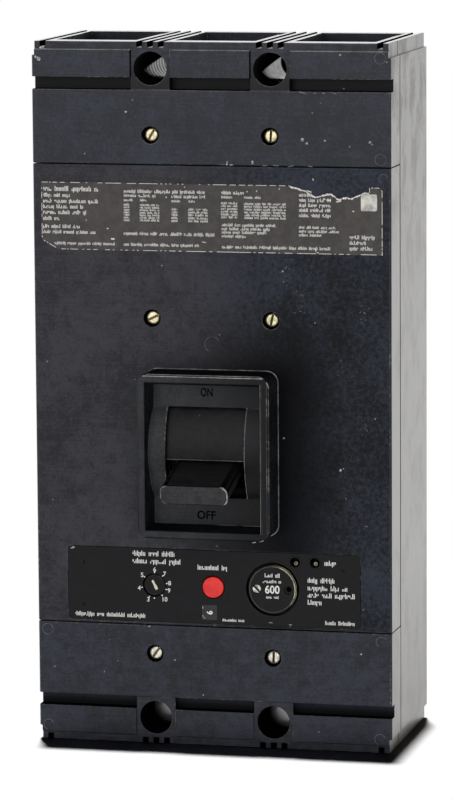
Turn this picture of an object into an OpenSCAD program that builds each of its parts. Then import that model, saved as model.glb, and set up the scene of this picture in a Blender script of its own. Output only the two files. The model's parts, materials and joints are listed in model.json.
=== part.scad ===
// Three-pole moulded-case circuit breaker, standing on its load end with its handle at OFF.
// Millimetres. X runs across the poles, the cover faces -Y, and Z rises from the load end to the line end.
// The modules draw in the case's own frame: y = 0 is the cover face, and y grows towards the mounting face.

/* [Case] */
// Width of the case across the three poles
case_w = 209.55; // [205:0.05:220]
// Height of the case from the load end to the line end
case_h = 406.4; // [395:0.1:430]
// Depth of the case from the cover face to the mounting face
case_d = 103.2; // [99:0.1:120]
// Distance between the centre lines of neighbouring poles
pole_pitch = 69.85; // [68.5:0.05:71]
// Depth of the covers, from the cover face to the parting line
cover_d = 25.4; // [24.6:0.1:26.4]
// Height of each terminal cover
end_cover_h = 70; // [66:0.5:71]
// Width of the seam between two covers
seam_gap = 0.5; // [0.3:0.1:1.2]
// Chamfer along the covers' long front edges
edge_chamfer = 0.9; // [0.7:0.1:1.5]
// Chamfer along the seams between covers
seam_chamfer = 0.3; // [0.2:0.1:0.6]
// Height of the shadow gap between the main cover and the base
parting_gap = 0.8; // [0.4:0.1:1.5]
// How far the shadow gap runs in from the side
parting_depth = 1.6; // [0.8:0.1:3]

/* [Case ends] */
// Height of the set-back strip at the very end of a cover
strip_h = 4.6; // [3.8:0.1:6]
// How far the strip and the hole lands lie behind the pads
strip_setback = 1.2; // [0.6:0.1:2]
// Distance from the end to the channel across the cover
channel_start = 20.4; // [18:0.1:22]
// Height of the channel
channel_h = 7; // [5:0.1:9]
// Depth of the channel
channel_d = 7; // [4:0.1:9]
// Width of the land around a mounting hole
land_w = 23.1; // [21.5:0.1:24]
// How far the case narrows at each side of an end
side_inset = 1.5; // [0.5:0.1:2.5]
// Height over which the case narrows
side_inset_h = 8; // [5:0.1:10]
// Width of the creepage grooves across the end faces
groove_w = 2.9; // [2:0.1:3.6]
// Depth of the creepage grooves
groove_d = 3.2; // [2:0.1:3.8]
// Distance between the creepage grooves of one land
groove_pitch = 6.35; // [5.5:0.05:7]
// Distance from the side of the case to the outer groove
outer_groove_x = 6.4; // [5.5:0.1:7]

/* [Mounting holes] */
// Diameter of the mounting holes
mount_hole_d = 19; // [17:0.1:20]
// Distance from the end of the case to a mounting hole
mount_hole_end = 15.2; // [14.2:0.1:17]

/* [Terminals] */
// Width of a terminal well
well_w = 46.6; // [44:0.1:47.5]
// How far a terminal well reaches in from the end
well_depth = 60; // [58:0.5:62]
// Thickness of the cover wall in front of a well
well_front = 14; // [11:0.1:15]
// Thickness of the base wall behind a well
well_back = 30; // [26:0.5:34]
// Width of a terminal strap
strap_w = 38.1; // [32:0.1:42]
// Thickness of a terminal strap
strap_t = 6.35; // [5:0.05:8]
// Length of a terminal strap outside the inner wall
strap_l = 46; // [42:0.5:54]
// Height of the ledge that carries a strap
ledge_t = 14; // [11:0.5:16]
// Diameter of the bolt hole in a strap
strap_hole_d = 11; // [9:0.1:13]
// Slack around the strap's bolt in the ledge behind it
bolt_slack = 1.5; // [0.5:0.1:3]
// Distance from the strap's outer edge to its bolt hole
strap_hole_edge = 19; // [14:0.5:22]
// Corner radius at the outer edge of a strap
strap_corner_r = 4; // [1:0.5:6]

/* [Handle collar] */
// Width of the collar around the handle
collar_w = 77.2; // [75:0.1:80]
// Height of the collar
collar_h = 94.8; // [93:0.1:98]
// How far the collar stands in front of the cover
collar_rise = 23.4; // [22:0.1:27]
// How far the collar's middle lies below the handle's axis
collar_drop = 1.5; // [0:0.1:2.5]
// How far the collar is let into the cover
collar_seat = 3; // [2:0.1:5]
// Outer corner radius of the collar
collar_r = 6.5; // [3:0.1:9]
// Wall of the collar at its front face
collar_wall = 4.6; // [3.5:0.1:5.5]
// Depth of the recess inside the collar
recess_d = 12.2; // [11:0.1:14]
// How far each recess wall slopes in from front to floor
recess_slope = 2.6; // [1:0.1:3.5]
// Chamfer along the collar's front edge
collar_chamfer = 0.8; // [0.3:0.1:1.5]

/* [Handle] */
// Depth of the handle's axis behind the cover face
axis_y = 30; // [29.5:0.1:31]
// Height of the handle's axis above the load end
axis_z = 173.4; // [172:0.1:175]
// Outside radius of the curved cheek between the ON and OFF strips
cheek_r = 49; // [48:0.1:50]
// Wall of the cheek
cheek_wall = 2.5; // [2:0.1:3.5]
// Width of the slot in the cheek
slot_w = 46; // [44.5:0.1:47]
// Height of the slot in the cheek
slot_h = 52; // [50:0.1:53]
// Radial gap between the cheek and the handle's drum
drum_gap = 1.2; // [0.8:0.1:1.8]
// How far the drum reaches past the slot at each side
drum_lap = 1.5; // [0.8:0.1:2]
// Gap between the drum and the side of its pocket
drum_side_gap = 1.5; // [1:0.1:2.5]
// Wall of the drum
drum_wall = 5; // [3:0.1:7]
// Half the angle that the drum covers
drum_half_angle = 58; // [56:0.5:62]
// Thickness of the drum's side webs
web_t = 4; // [3:0.1:6]
// Half the angle that the side webs cover
web_half_angle = 40; // [30:0.5:50]
// Outside radius of the handle's hub
hub_r = 9; // [7:0.1:12]
// Width of the lever
lever_w = 39.4; // [36:0.1:40]
// Thickness of the lever
lever_t = 11.3; // [9:0.1:11.5]
// Corner radius of the lever's section
lever_corner_r = 4.2; // [1.5:0.1:4.4]
// Distance from the axis to the lever's tip
lever_reach = 77.3; // [74:0.1:82]
// Radius along the tip's upper and lower edges
tip_r = 1.2; // [0.8:0.1:3]
// Height of the drum's upper lip above the lever's middle
lip_up = 7.3; // [6:0.1:8]
// Depth of the drum's lower lip below the lever's middle
lip_down = 9; // [6:0.1:10]
// How far the opening between the lips runs into the drum
root_gap_d = 15; // [8:0.5:18]
// Angle of the lever below level at OFF
handle_rest = 14.9; // [12:0.1:16]
// Radius of the pin that the handle turns on
pin_r = 4; // [3:0.1:4.2]
// How far the pin reaches into each side of the base
pin_seat = 6; // [4:0.1:9]
// Radial running clearance on the pin
running_clearance = 0.05; // [0.03:0.01:0.08]

/* [Trip unit] */
// Width of the trip unit's faceplate
plate_w = 172.6; // [166:0.1:180]
// Height of the faceplate
plate_h = 42.6; // [41:0.1:43.5]
// Height of the faceplate's centre above the load end
plate_z = 93.3; // [92.5:0.1:94]
// Thickness of the faceplate
plate_t = 1; // [0.6:0.1:1.5]
// How far the faceplate stands proud of the cover
plate_proud = 0.2; // [0:0.1:0.4]
// Corner radius of the faceplate
plate_r = 2; // [1:0.1:4]
// How far the faceplate laps over the edge of its window
plate_lap = 1.2; // [0.8:0.1:1.5]
// Gap around pieces let into the cover
fit_gap = 0.2; // [0.1:0.05:0.3]
// Distance from the centre line to the dial and to the rating plug
control_x = 35; // [33:0.1:36]
// Radius of the adjustment dial
dial_r = 6.3; // [5.5:0.1:7.5]
// Thickness of the dial's head
dial_t = 3.8; // [3:0.1:5]
// How far the dial's face lies behind the cover face
dial_sink = 0.4; // [0:0.1:1]
// Radius of the dial's stem
dial_stem_r = 3; // [2:0.1:4]
// Length of the dial's stem
dial_stem_l = 9; // [6:0.1:12]
// Length of the pointer on the dial
pointer_l = 6; // [4:0.1:8]
// Width of the pointer
pointer_w = 1.7; // [1:0.1:2.2]
// Depth to which the pointer is let into the dial
pointer_d = 1.2; // [0.8:0.1:1.6]
// Angle of the pointer at rest, clockwise from straight up
pointer_angle = -28; // [-60:1:60]
// Radius of the trip button
button_r = 6.2; // [5.5:0.1:7.5]
// How far the button stands in front of the cover
button_rise = 1.2; // [0.5:0.1:3]
// Length of the button
button_l = 12; // [9:0.1:15]
// How far the button can be pushed
button_travel = 4; // [2:0.1:5]
// Rounding of the button's front edge
button_round = 1; // [0.5:0.1:2]
// Clear gap around the button and the dial
control_gap = 0.6; // [0.3:0.05:0.8]
// Radius of the rating plug
plug_r = 14.2; // [13.2:0.1:15]
// Width of the open ring around the rating plug
plug_gap = 1.4; // [0.8:0.1:1.6]
// Depth of the open ring
plug_moat_d = 4; // [2:0.1:8]
// Width of the key notch above the rating plug
plug_key_w = 3.4; // [2:0.1:5]
// Height of the key notch
plug_key_h = 1.4; // [0.8:0.1:2]
// Length of the rating plug
plug_l = 14; // [8:0.1:18]
// How far the rating plug stands in front of the cover
plug_rise = 0.6; // [0.2:0.1:2]
// Chamfer around the rating plug's face
plug_chamfer = 0.8; // [0.5:0.1:1.5]
// Distance from the rating plug's centre to its screws
plug_screw_x = 9.3; // [8.5:0.1:10]
// Radius of the rating plug's screw head
plug_screw_r = 2.5; // [2:0.1:3]
// Distance from the centre line to the nearer test jack
jack_x = 48.3; // [48:0.1:50]
// Distance between the test jacks
jack_pitch = 11.6; // [10:0.1:13]
// Height of the test jacks above the faceplate's centre
jack_up = 16.2; // [15.8:0.1:16.6]
// Radius of a test jack's rim
jack_rim_r = 3.9; // [3.5:0.1:4.1]
// Outside radius of a test jack's barrel
jack_r = 3.2; // [2.8:0.1:3.2]
// Wall of a test jack
jack_wall = 0.3; // [0.3:0.1:0.6]
// Length of a test jack
jack_l = 9; // [6:0.1:12]
// Radius of the contact pin inside a test jack
jack_pin_r = 1.2; // [0.8:0.1:1.3]
// Radius of the bore in the contact pin
jack_bore_r = 0.4; // [0.2:0.05:0.6]
// How far the contact pin lies below the jack's middle
jack_pin_drop = 1; // [0:0.1:1.2]

/* [Screws] */
// Distance from the end to the screws of a terminal cover
end_screw_z = 53.1; // [50:0.1:56]
// Height of the main cover's screws above the load end
main_screw_z = 248.4; // [240:0.1:260]
// Radius of a cover screw's head
screw_head_r = 3.7; // [3.2:0.1:4.2]
// Height of a cover screw's head
screw_head_h = 3; // [2:0.1:4]
// Depth of the counterbore above a screw's head
screw_sink = 2; // [0.3:0.1:3]
// Radius of a cover screw's shank
screw_shank_r = 2.4; // [1.8:0.1:2.8]
// How far a cover screw reaches into the base
screw_grip = 12; // [8:0.5:16]
// Width of a screw's slot
screw_slot_w = 1.2; // [0.8:0.1:1.6]
// Depth of a screw's slot
screw_slot_d = 1.2; // [0.8:0.1:1.6]
// Slack around a screw's head in its counterbore
screw_head_gap = 1.3; // [0.4:0.1:1.6]

/* [Back of the base] */
// Width of the shallow relief behind each pole
relief_w = 50; // [40:0.5:56]
// Height of the relief
relief_h = 250; // [200:1:280]
// Depth of the relief
relief_d = 2.5; // [1:0.1:4]
// Corner radius of the relief
relief_r = 6; // [2:0.5:10]

/* [Hidden] */
$fn = 64;
eps = 0.01;
past = 1;
phenolic = "#2b2d31";
phenolic_dark = "#1f2124";
copper = "#b87c4f";
steel = "#b9b9b4";
cream_metal = "#c8bd95";
signal_red = "#d23a38";
poles = [-1, 0, 1];
sides = [-1, 1];
// The frame's origin lies under the middle of the part's box, with the lever at rest
lever_front = (lever_reach - tip_r) * cos(handle_rest) + (lever_t / 2 - tip_r) * sin(handle_rest) + tip_r;
frame_y = -(case_d - (lever_front - axis_y)) / 2;
// The mounting holes and cover screws stand on the lines between the poles
barrier_x = pole_pitch / 2;
main_cover_h = case_h - 2 * end_cover_h;
// Terminal wells and straps
well_back_y = case_d - well_back;
strap_back_y = well_back_y - ledge_t;
strap_hole_z = well_depth - strap_l + strap_hole_edge;
// Handle pocket, drum and pin
pocket_r = cheek_r - cheek_wall;
drum_r = pocket_r - drum_gap;
drum_w = slot_w + 2 * drum_lap;
pocket_w = drum_w + 2 * drum_side_gap;
bore_r = pin_r + running_clearance;
pin_l = pocket_w + 2 * pin_seat;
collar_z = axis_z - collar_drop;
// Trip unit
window_w = plate_w - 2 * plate_lap;
window_h = plate_h - 2 * plate_lap;
plate_back_y = plate_t - plate_proud;
dial_pocket_y = dial_sink + dial_t + control_gap;
button_pocket_y = button_l - button_rise + button_travel + control_gap;
plug_back_y = plug_l - plug_rise;
jack_z = plate_z + jack_up;
jack_xs = [jack_x, jack_x + jack_pitch];
plate_hole_r = 1.25;
plate_hole_x = plate_w / 2 - 9.6;
plate_hole_z = 12.5;
plug_screw_l = 8;
plug_screw_h = 1.4;
plug_slot_angle = -45;
plug_slot_d = 0.9;
screw_clear = 0.3;
// Slot angles of the cover screws, left then right, counted from straight up
line_slots = [30, 4];
main_slots = [65, 12];
load_slots = [35, 2];

// Helpers

module in_frame() {
    translate([0, frame_y, 0]) children();
}

// Turns what is drawn for the load end over to the line end
module at_line_end() {
    translate([0, 0, case_h]) mirror([0, 0, 1]) children();
}

// A box between two corners
module block(low, high) {
    translate(low) cube(high - low);
}

// A section drawn as (y, z), swept along X about the middle plane
module across(width) {
    rotate([90, 0, 90]) linear_extrude(width, center = true) children();
}

// An outline drawn as (x, z), swept in depth from y0 to y1
module deep(y0, y1) {
    translate([0, y1, 0]) rotate([90, 0, 0]) linear_extrude(y1 - y0) children();
}

// A round bar or hole in depth, from y0 to y1
module round_y(x, z, r, y0, y1) {
    translate([x, y1, z]) rotate([90, 0, 0]) cylinder(r = r, h = y1 - y0);
}

// A round bar or hole along the handle's axis, about the middle plane
module round_x(r, length) {
    translate([0, axis_y, axis_z]) rotate([0, 90, 0]) cylinder(r = r, h = length, center = true);
}

// A profile drawn as (radius, depth) and turned about an axis in depth
module turned_y(x, z, y0) {
    translate([x, y0, z]) rotate([-90, 0, 0]) rotate_extrude() children();
}

module rounded_rect(w, h, r) {
    square([w - 2 * r, h], center = true);
    square([w, h - 2 * r], center = true);
    for (sx = sides, sz = sides) translate([sx * (w / 2 - r), sz * (h / 2 - r)]) circle(r);
}

// Chamfers the two long front edges of a cover between two heights
module side_chamfers(z0, z1) {
    for (s = sides)
        translate([s * case_w / 2, 0, z0 - past]) linear_extrude(z1 - z0 + 2 * past)
            polygon([
                [-s * (edge_chamfer + past), -past],
                [s * past, -past],
                [s * past, edge_chamfer + past]
            ]);
}

// Shared cuts of the case, drawn for the load end

module mounting_holes() {
    for (s = sides) round_y(s * barrier_x, mount_hole_end, mount_hole_d / 2, -past, case_d + past);
}

module end_narrowing() {
    for (s = sides)
        translate([s * case_w / 2, case_d / 2, 0])
            cube([2 * side_inset, case_d + 2 * past, 2 * side_inset_h], center = true);
}

module creepage_grooves() {
    land_grooves = [for (s = sides, k = poles) s * barrier_x + k * groove_pitch];
    outer_grooves = [for (s = sides) s * (case_w / 2 - outer_groove_x)];
    for (x = concat(land_grooves, outer_grooves))
        translate([x, case_d / 2, 0]) cube([groove_w, case_d + 2 * past, 2 * groove_d], center = true);
}

module terminal_wells() {
    for (p = poles)
        block([p * pole_pitch - well_w / 2, well_front, -past],
              [p * pole_pitch + well_w / 2, well_back_y, well_depth]);
}

module end_cuts() {
    mounting_holes();
    end_narrowing();
    creepage_grooves();
    terminal_wells();
}

// Counterbore and clearance hole for a cover screw, and its hole in the base
module screw_hole(x, z) {
    round_y(x, z, screw_head_r + screw_head_gap, -past, screw_sink + screw_head_h);
    round_y(x, z, screw_shank_r + screw_clear, 0, cover_d);
    round_y(x, z, screw_shank_r + running_clearance, cover_d - past, cover_d + screw_grip + past);
}

module handle_pocket() {
    round_x(pocket_r, pocket_w, $fn = 128);
}

// Case

// One pole's ledge in its well, with the hole below the strap's bolt
module terminal_ledge(p) {
    difference() {
        block([p * pole_pitch - strap_w / 2, strap_back_y, well_depth - strap_l],
              [p * pole_pitch + strap_w / 2, well_back_y + eps, well_depth + eps]);
        round_y(p * pole_pitch, strap_hole_z, strap_hole_d / 2 + bolt_slack,
                strap_back_y - past, well_back_y - past);
    }
}

// Saddles in the base, open at the parting line, that the handle's pin lies in
module pin_saddles() {
    round_x(bore_r, pin_l);
    block([-pin_l / 2, cover_d - past, axis_z - bore_r], [pin_l / 2, axis_y, axis_z + bore_r]);
}

module base() {
    color(phenolic) in_frame() {
        difference() {
            block([-case_w / 2, cover_d, 0], [case_w / 2, case_d, case_h]);
            end_cuts();
            at_line_end() end_cuts();
            handle_pocket();
            pin_saddles();
            for (s = sides) {
                screw_hole(s * barrier_x, end_screw_z);
                screw_hole(s * barrier_x, case_h - end_screw_z);
                screw_hole(s * barrier_x, main_screw_z);
            }
            for (p = poles)
                translate([p * pole_pitch, 0, case_h / 2]) deep(case_d - relief_d, case_d + past)
                    rounded_rect(relief_w, relief_h, relief_r);
        }
        for (p = poles) {
            terminal_ledge(p);
            at_line_end() terminal_ledge(p);
        }
    }
}

// Section of a terminal cover: strip, pad, channel and plain face
module end_cover_section() {
    top = end_cover_h - seam_gap / 2;
    polygon([
        [strip_setback, 0],
        [strip_setback, strip_h],
        [0, strip_h],
        [0, channel_start],
        [channel_d, channel_start],
        [channel_d, channel_start + channel_h],
        [0, channel_start + channel_h],
        [0, top - seam_chamfer],
        [seam_chamfer, top],
        [cover_d, top],
        [cover_d, 0]
    ]);
}

module terminal_cover() {
    land_x = land_w / 2;
    difference() {
        union() {
            across(case_w) end_cover_section();
            for (s = sides)
                block([s * barrier_x - land_x, strip_setback, channel_start - eps],
                      [s * barrier_x + land_x, cover_d - past, channel_start + channel_h + eps]);
        }
        for (s = sides)
            block([s * barrier_x - land_x, -past, 0],
                  [s * barrier_x + land_x, strip_setback, channel_start + eps]);
        end_cuts();
        side_chamfers(0, end_cover_h);
        for (s = sides) screw_hole(s * barrier_x, end_screw_z);
    }
}

module line_terminal_cover() {
    color(phenolic) in_frame() at_line_end() terminal_cover();
}

module load_terminal_cover() {
    color(phenolic) in_frame() terminal_cover();
}

module main_cover_section() {
    low = end_cover_h + seam_gap / 2;
    high = case_h - low;
    polygon([
        [seam_chamfer, low],
        [cover_d, low],
        [cover_d, high],
        [seam_chamfer, high],
        [0, high - seam_chamfer],
        [0, low + seam_chamfer]
    ]);
}

module main_cover() {
    color(phenolic) in_frame() difference() {
        across(case_w) main_cover_section();
        side_chamfers(end_cover_h, case_h - end_cover_h);
        for (s = sides)
            translate([s * case_w / 2, cover_d, case_h / 2])
                cube([2 * parting_depth, 2 * parting_gap, case_h], center = true);
        translate([0, 0, collar_z]) deep(-past, collar_seat)
            rounded_rect(collar_w + 2 * fit_gap, collar_h + 2 * fit_gap, collar_r + fit_gap);
        handle_pocket();
        translate([0, 0, plate_z]) deep(-past, plate_back_y)
            rounded_rect(plate_w + 2 * fit_gap, plate_h + 2 * fit_gap, plate_r + fit_gap);
        block([-window_w / 2, 0, plate_z - window_h / 2],
              [window_w / 2, cover_d + past, plate_z + window_h / 2]);
        for (s = sides) screw_hole(s * barrier_x, main_screw_z);
    }
}

// Handle, collar and pin

// The recess that narrows towards its floor, with the ON strip above and the OFF strip below
module collar_recess() {
    mouth_w = collar_w - 2 * collar_wall;
    mouth_h = collar_h - 2 * collar_wall;
    narrow = [1 - 2 * recess_slope / mouth_w, 1 - 2 * recess_slope / mouth_h];
    translate([0, -collar_rise, collar_z]) rotate([-90, 0, 0])
        linear_extrude(recess_d, scale = narrow, slices = 1) square([mouth_w, mouth_h], center = true);
    translate([0, 0, collar_z]) deep(-collar_rise - past, -collar_rise + eps)
        square([mouth_w, mouth_h], center = true);
}

module collar_front_chamfer() {
    for (s = sides) {
        translate([s * collar_w / 2, -collar_rise, collar_z]) rotate([0, 0, 45])
            cube([collar_chamfer * sqrt(2), collar_chamfer * sqrt(2), collar_h + 2 * past], center = true);
        translate([0, -collar_rise, collar_z + s * collar_h / 2]) rotate([45, 0, 0])
            cube([collar_w + 2 * past, collar_chamfer * sqrt(2), collar_chamfer * sqrt(2)], center = true);
    }
}

module handle_collar() {
    cheek_w = collar_w - 2 * collar_wall;
    color(phenolic_dark) in_frame() difference() {
        union() {
            difference() {
                translate([0, 0, collar_z]) deep(-collar_rise, collar_seat)
                    rounded_rect(collar_w, collar_h, collar_r);
                collar_recess();
            }
            intersection() {
                round_x(cheek_r, cheek_w, $fn = 128);
                block([-cheek_w / 2, -collar_rise, collar_z - collar_h / 2 + collar_wall],
                      [cheek_w / 2, 0, collar_z + collar_h / 2 - collar_wall]);
            }
        }
        collar_front_chamfer();
        handle_pocket();
        block([-slot_w / 2, -collar_rise - past, axis_z - slot_h / 2], [slot_w / 2, 0, axis_z + slot_h / 2]);
    }
}

// Sections of the handle as seen from the side: u runs out along the lever, v up across it

module drum_sector(r_in, r_out, half_angle) {
    reach = 2 * r_out;
    fan = [for (k = [-2 : 2]) let (a = k * half_angle / 2) reach * [cos(a), sin(a)]];
    intersection() {
        difference() {
            circle(r_out, $fn = 128);
            circle(r_in);
        }
        polygon(concat([[0, 0]], fan));
    }
}

module lever_section() {
    tip_u = lever_reach - tip_r;
    tip_v = lever_t / 2 - tip_r;
    translate([0, -lever_t / 2]) square([tip_u, lever_t]);
    translate([0, -tip_v]) square([lever_reach, 2 * tip_v]);
    for (s = sides) translate([tip_u, s * tip_v]) circle(tip_r);
}

// The opening between the drum's two lips, where the lever comes out
module root_gap_section() {
    translate([drum_r - root_gap_d, -lip_down]) square([root_gap_d + past, lip_up + lip_down]);
}

// Stands a side section up on the handle's axis at its rest angle
module handle_sweep(width) {
    translate([0, axis_y, axis_z]) rotate([handle_rest, 0, 0]) rotate([0, 0, 180]) across(width) children();
}

module handle() {
    web_x = (drum_w - web_t) / 2;
    color(phenolic) in_frame() difference() {
        union() {
            difference() {
                union() {
                    handle_sweep(drum_w) drum_sector(drum_r - drum_wall, drum_r, drum_half_angle);
                    for (s = sides)
                        translate([s * web_x, 0, 0]) handle_sweep(web_t)
                            drum_sector(hub_r / 2, drum_r - drum_wall / 2, web_half_angle);
                }
                handle_sweep(drum_w + 2 * past) root_gap_section();
            }
            round_x(hub_r, drum_w);
            intersection() {
                handle_sweep(lever_w) lever_section();
                translate([0, axis_y, axis_z]) rotate([90 + handle_rest, 0, 0])
                    linear_extrude(lever_reach + past) rounded_rect(lever_w, lever_t, lever_corner_r);
            }
        }
        round_x(bore_r, drum_w + 2 * past);
    }
}

module handle_pin() {
    color(steel) in_frame() round_x(pin_r, pin_l - 2 * fit_gap);
}

// Trip unit

module trip_unit() {
    color(phenolic_dark) in_frame() difference() {
        block([-window_w / 2 + fit_gap, plate_back_y, plate_z - window_h / 2 + fit_gap],
              [window_w / 2 - fit_gap, cover_d, plate_z + window_h / 2 - fit_gap]);
        round_y(-control_x, plate_z, dial_r + control_gap, -past, dial_pocket_y);
        round_y(-control_x, plate_z, dial_stem_r + running_clearance, 0, dial_pocket_y + dial_stem_l + past);
        round_y(0, plate_z, button_r + control_gap, -past, button_pocket_y);
        round_y(control_x, plate_z, plug_r + plug_gap, -past, plate_back_y + plug_moat_d);
        round_y(control_x, plate_z, plug_r + fit_gap, -past, plug_back_y);
        for (x = jack_xs) round_y(x, jack_z, jack_r + running_clearance, -past, plate_back_y + jack_l);
    }
}

module trip_faceplate() {
    color("#33353a") in_frame() difference() {
        translate([0, 0, plate_z]) deep(-plate_proud, plate_back_y) rounded_rect(plate_w, plate_h, plate_r);
        round_y(-control_x, plate_z, dial_r + control_gap, -past, cover_d);
        round_y(0, plate_z, button_r + control_gap, -past, cover_d);
        round_y(control_x, plate_z, plug_r + plug_gap, -past, cover_d);
        block([control_x - plug_key_w / 2, -past, plate_z + plug_r],
              [control_x + plug_key_w / 2, cover_d, plate_z + plug_r + plug_gap + plug_key_h]);
        for (x = jack_xs) round_y(x, jack_z, jack_r + running_clearance, -past, cover_d);
        for (hole = [[-1, -1], [-1, 1], [1, 1]])
            round_y(hole[0] * plate_hole_x, plate_z + hole[1] * plate_hole_z, plate_hole_r, -past, cover_d);
    }
}

// Lays a bar on the dial's face, turned to the pointer's angle
module pointer_bar(w, l, y0, y1) {
    translate([-control_x, 0, plate_z]) rotate([0, pointer_angle, 0])
        block([-w / 2, y0, -l / 2], [w / 2, y1, l / 2]);
}

module trip_dial() {
    edge = dial_t / 8;
    color("#26282b") in_frame() difference() {
        turned_y(-control_x, plate_z, dial_sink) polygon([
            [0, 0],
            [dial_r - edge, 0],
            [dial_r, edge],
            [dial_r, dial_t],
            [dial_stem_r, dial_t],
            [dial_stem_r, dial_t + dial_stem_l],
            [0, dial_t + dial_stem_l]
        ]);
        pointer_bar(pointer_w + 2 * running_clearance, pointer_l + 2 * running_clearance,
                    -past, dial_sink + pointer_d);
    }
}

module dial_pointer() {
    color(cream_metal) in_frame()
        pointer_bar(pointer_w, pointer_l, dial_sink + pointer_d / 4, dial_sink + pointer_d);
}

module trip_button() {
    flat = button_r - button_round;
    rounding = [for (a = [90 : -15 : 0]) [flat + button_round * cos(a), button_round * (1 - sin(a))]];
    color(signal_red) in_frame() turned_y(0, plate_z, -button_rise)
        polygon(concat([[0, 0]], rounding, [[button_r, button_l], [0, button_l]]));
}

module rating_plug() {
    seat = plug_rise + plug_screw_h;
    color(phenolic) in_frame() difference() {
        turned_y(control_x, plate_z, -plug_rise) polygon([
            [0, 0],
            [plug_r - plug_chamfer, 0],
            [plug_r, plug_chamfer],
            [plug_r, plug_l],
            [0, plug_l]
        ]);
        for (s = sides) {
            x = control_x + s * plug_screw_x;
            round_y(x, plate_z, plug_screw_r + screw_clear, -plug_rise - past, seat - plug_rise);
            round_y(x, plate_z, plug_screw_r / 2 + screw_clear, 0, plug_screw_l + past);
        }
    }
}

module rating_plug_screw() {
    color(cream_metal) in_frame() translate([control_x - plug_screw_x, 0, plate_z]) difference() {
        union() {
            round_y(0, 0, plug_screw_r, 0, plug_screw_h);
            round_y(0, 0, plug_screw_r / 2, 0, plug_screw_l);
        }
        rotate([0, plug_slot_angle, 0])
            cube([screw_slot_w, 2 * plug_slot_d, 3 * plug_screw_r], center = true);
    }
}

// A test jack: a lined socket with a contact pin standing in it
module test_jack(x) {
    back = plate_back_y + jack_l;
    pin_y = jack_l / 4;
    pin_z = jack_z - jack_pin_drop;
    color(steel) in_frame() difference() {
        union() {
            round_y(x, jack_z, jack_rim_r, -plate_proud - jack_wall, -plate_proud);
            round_y(x, jack_z, jack_r, -plate_proud - jack_wall, back);
        }
        difference() {
            round_y(x, jack_z, jack_r - jack_wall, -past - plate_proud, back - jack_wall);
            round_y(x, pin_z, jack_pin_r, pin_y, back);
        }
        round_y(x, pin_z, jack_bore_r, pin_y - past, back - jack_wall);
    }
}

module test_jack_left() { test_jack(jack_xs[0]); }
module test_jack_right() { test_jack(jack_xs[1]); }

// Terminals, drawn for the load end

module terminal_strap(p) {
    low = well_depth - strap_l;
    corner_x = strap_w / 2 - strap_corner_r;
    corner_z = low + strap_corner_r;
    color(copper) translate([p * pole_pitch, 0, 0]) difference() {
        deep(strap_back_y - strap_t, strap_back_y) union() {
            translate([-strap_w / 2, corner_z]) square([strap_w, strap_l - strap_corner_r]);
            translate([-corner_x, low]) square([2 * corner_x, strap_l]);
            for (s = sides) translate([s * corner_x, corner_z]) circle(strap_corner_r);
        }
        round_y(0, strap_hole_z, strap_hole_d / 2, 0, case_d);
    }
}

module line_terminal_left() { in_frame() at_line_end() terminal_strap(-1); }
module line_terminal_centre() { in_frame() at_line_end() terminal_strap(0); }
module line_terminal_right() { in_frame() at_line_end() terminal_strap(1); }
module load_terminal_left() { in_frame() terminal_strap(-1); }
module load_terminal_centre() { in_frame() terminal_strap(0); }
module load_terminal_right() { in_frame() terminal_strap(1); }

// Cover screws: slotted heads, sunk a little below the cover face
module cover_screw(x, z, slot_angle) {
    dome = screw_head_h / 5;
    color(cream_metal) in_frame() difference() {
        turned_y(x, z, screw_sink) polygon([
            [0, 0],
            [screw_head_r - 2 * dome, 0],
            [screw_head_r, dome],
            [screw_head_r, screw_head_h],
            [screw_shank_r, screw_head_h],
            [screw_shank_r, cover_d - screw_sink + screw_grip],
            [0, cover_d - screw_sink + screw_grip]
        ]);
        translate([x, screw_sink, z]) rotate([0, slot_angle, 0])
            cube([screw_slot_w, 2 * screw_slot_d, 3 * screw_head_r], center = true);
    }
}

module line_cover_screw_left() { cover_screw(-barrier_x, case_h - end_screw_z, line_slots[0]); }
module line_cover_screw_right() { cover_screw(barrier_x, case_h - end_screw_z, line_slots[1]); }
module main_cover_screw_left() { cover_screw(-barrier_x, main_screw_z, main_slots[0]); }
module main_cover_screw_right() { cover_screw(barrier_x, main_screw_z, main_slots[1]); }
module load_cover_screw_left() { cover_screw(-barrier_x, end_screw_z, load_slots[0]); }
module load_cover_screw_right() { cover_screw(barrier_x, end_screw_z, load_slots[1]); }

base();
main_cover();
line_terminal_cover();
load_terminal_cover();
handle_collar();
handle();
handle_pin();
trip_unit();
trip_faceplate();
trip_dial();
dial_pointer();
trip_button();
rating_plug();
rating_plug_screw();
test_jack_left();
test_jack_right();
line_terminal_left();
line_terminal_centre();
line_terminal_right();
load_terminal_left();
load_terminal_centre();
load_terminal_right();
line_cover_screw_left();
line_cover_screw_right();
main_cover_screw_left();
main_cover_screw_right();
load_cover_screw_left();
load_cover_screw_right();
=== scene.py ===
# %% [markdown]
# A three-pole moulded-case circuit breaker, standing on its load end.
# The CAD solids bring every shape and every joint. This file gives them soft
# moulded edges, finishes, print, a torn rating label and the marks of use.
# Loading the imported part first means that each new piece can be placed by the
# same millimetres as the solids, with no fitting by eye.

import json
import math
import random

import bpy
from mathutils import Matrix, Vector

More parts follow.
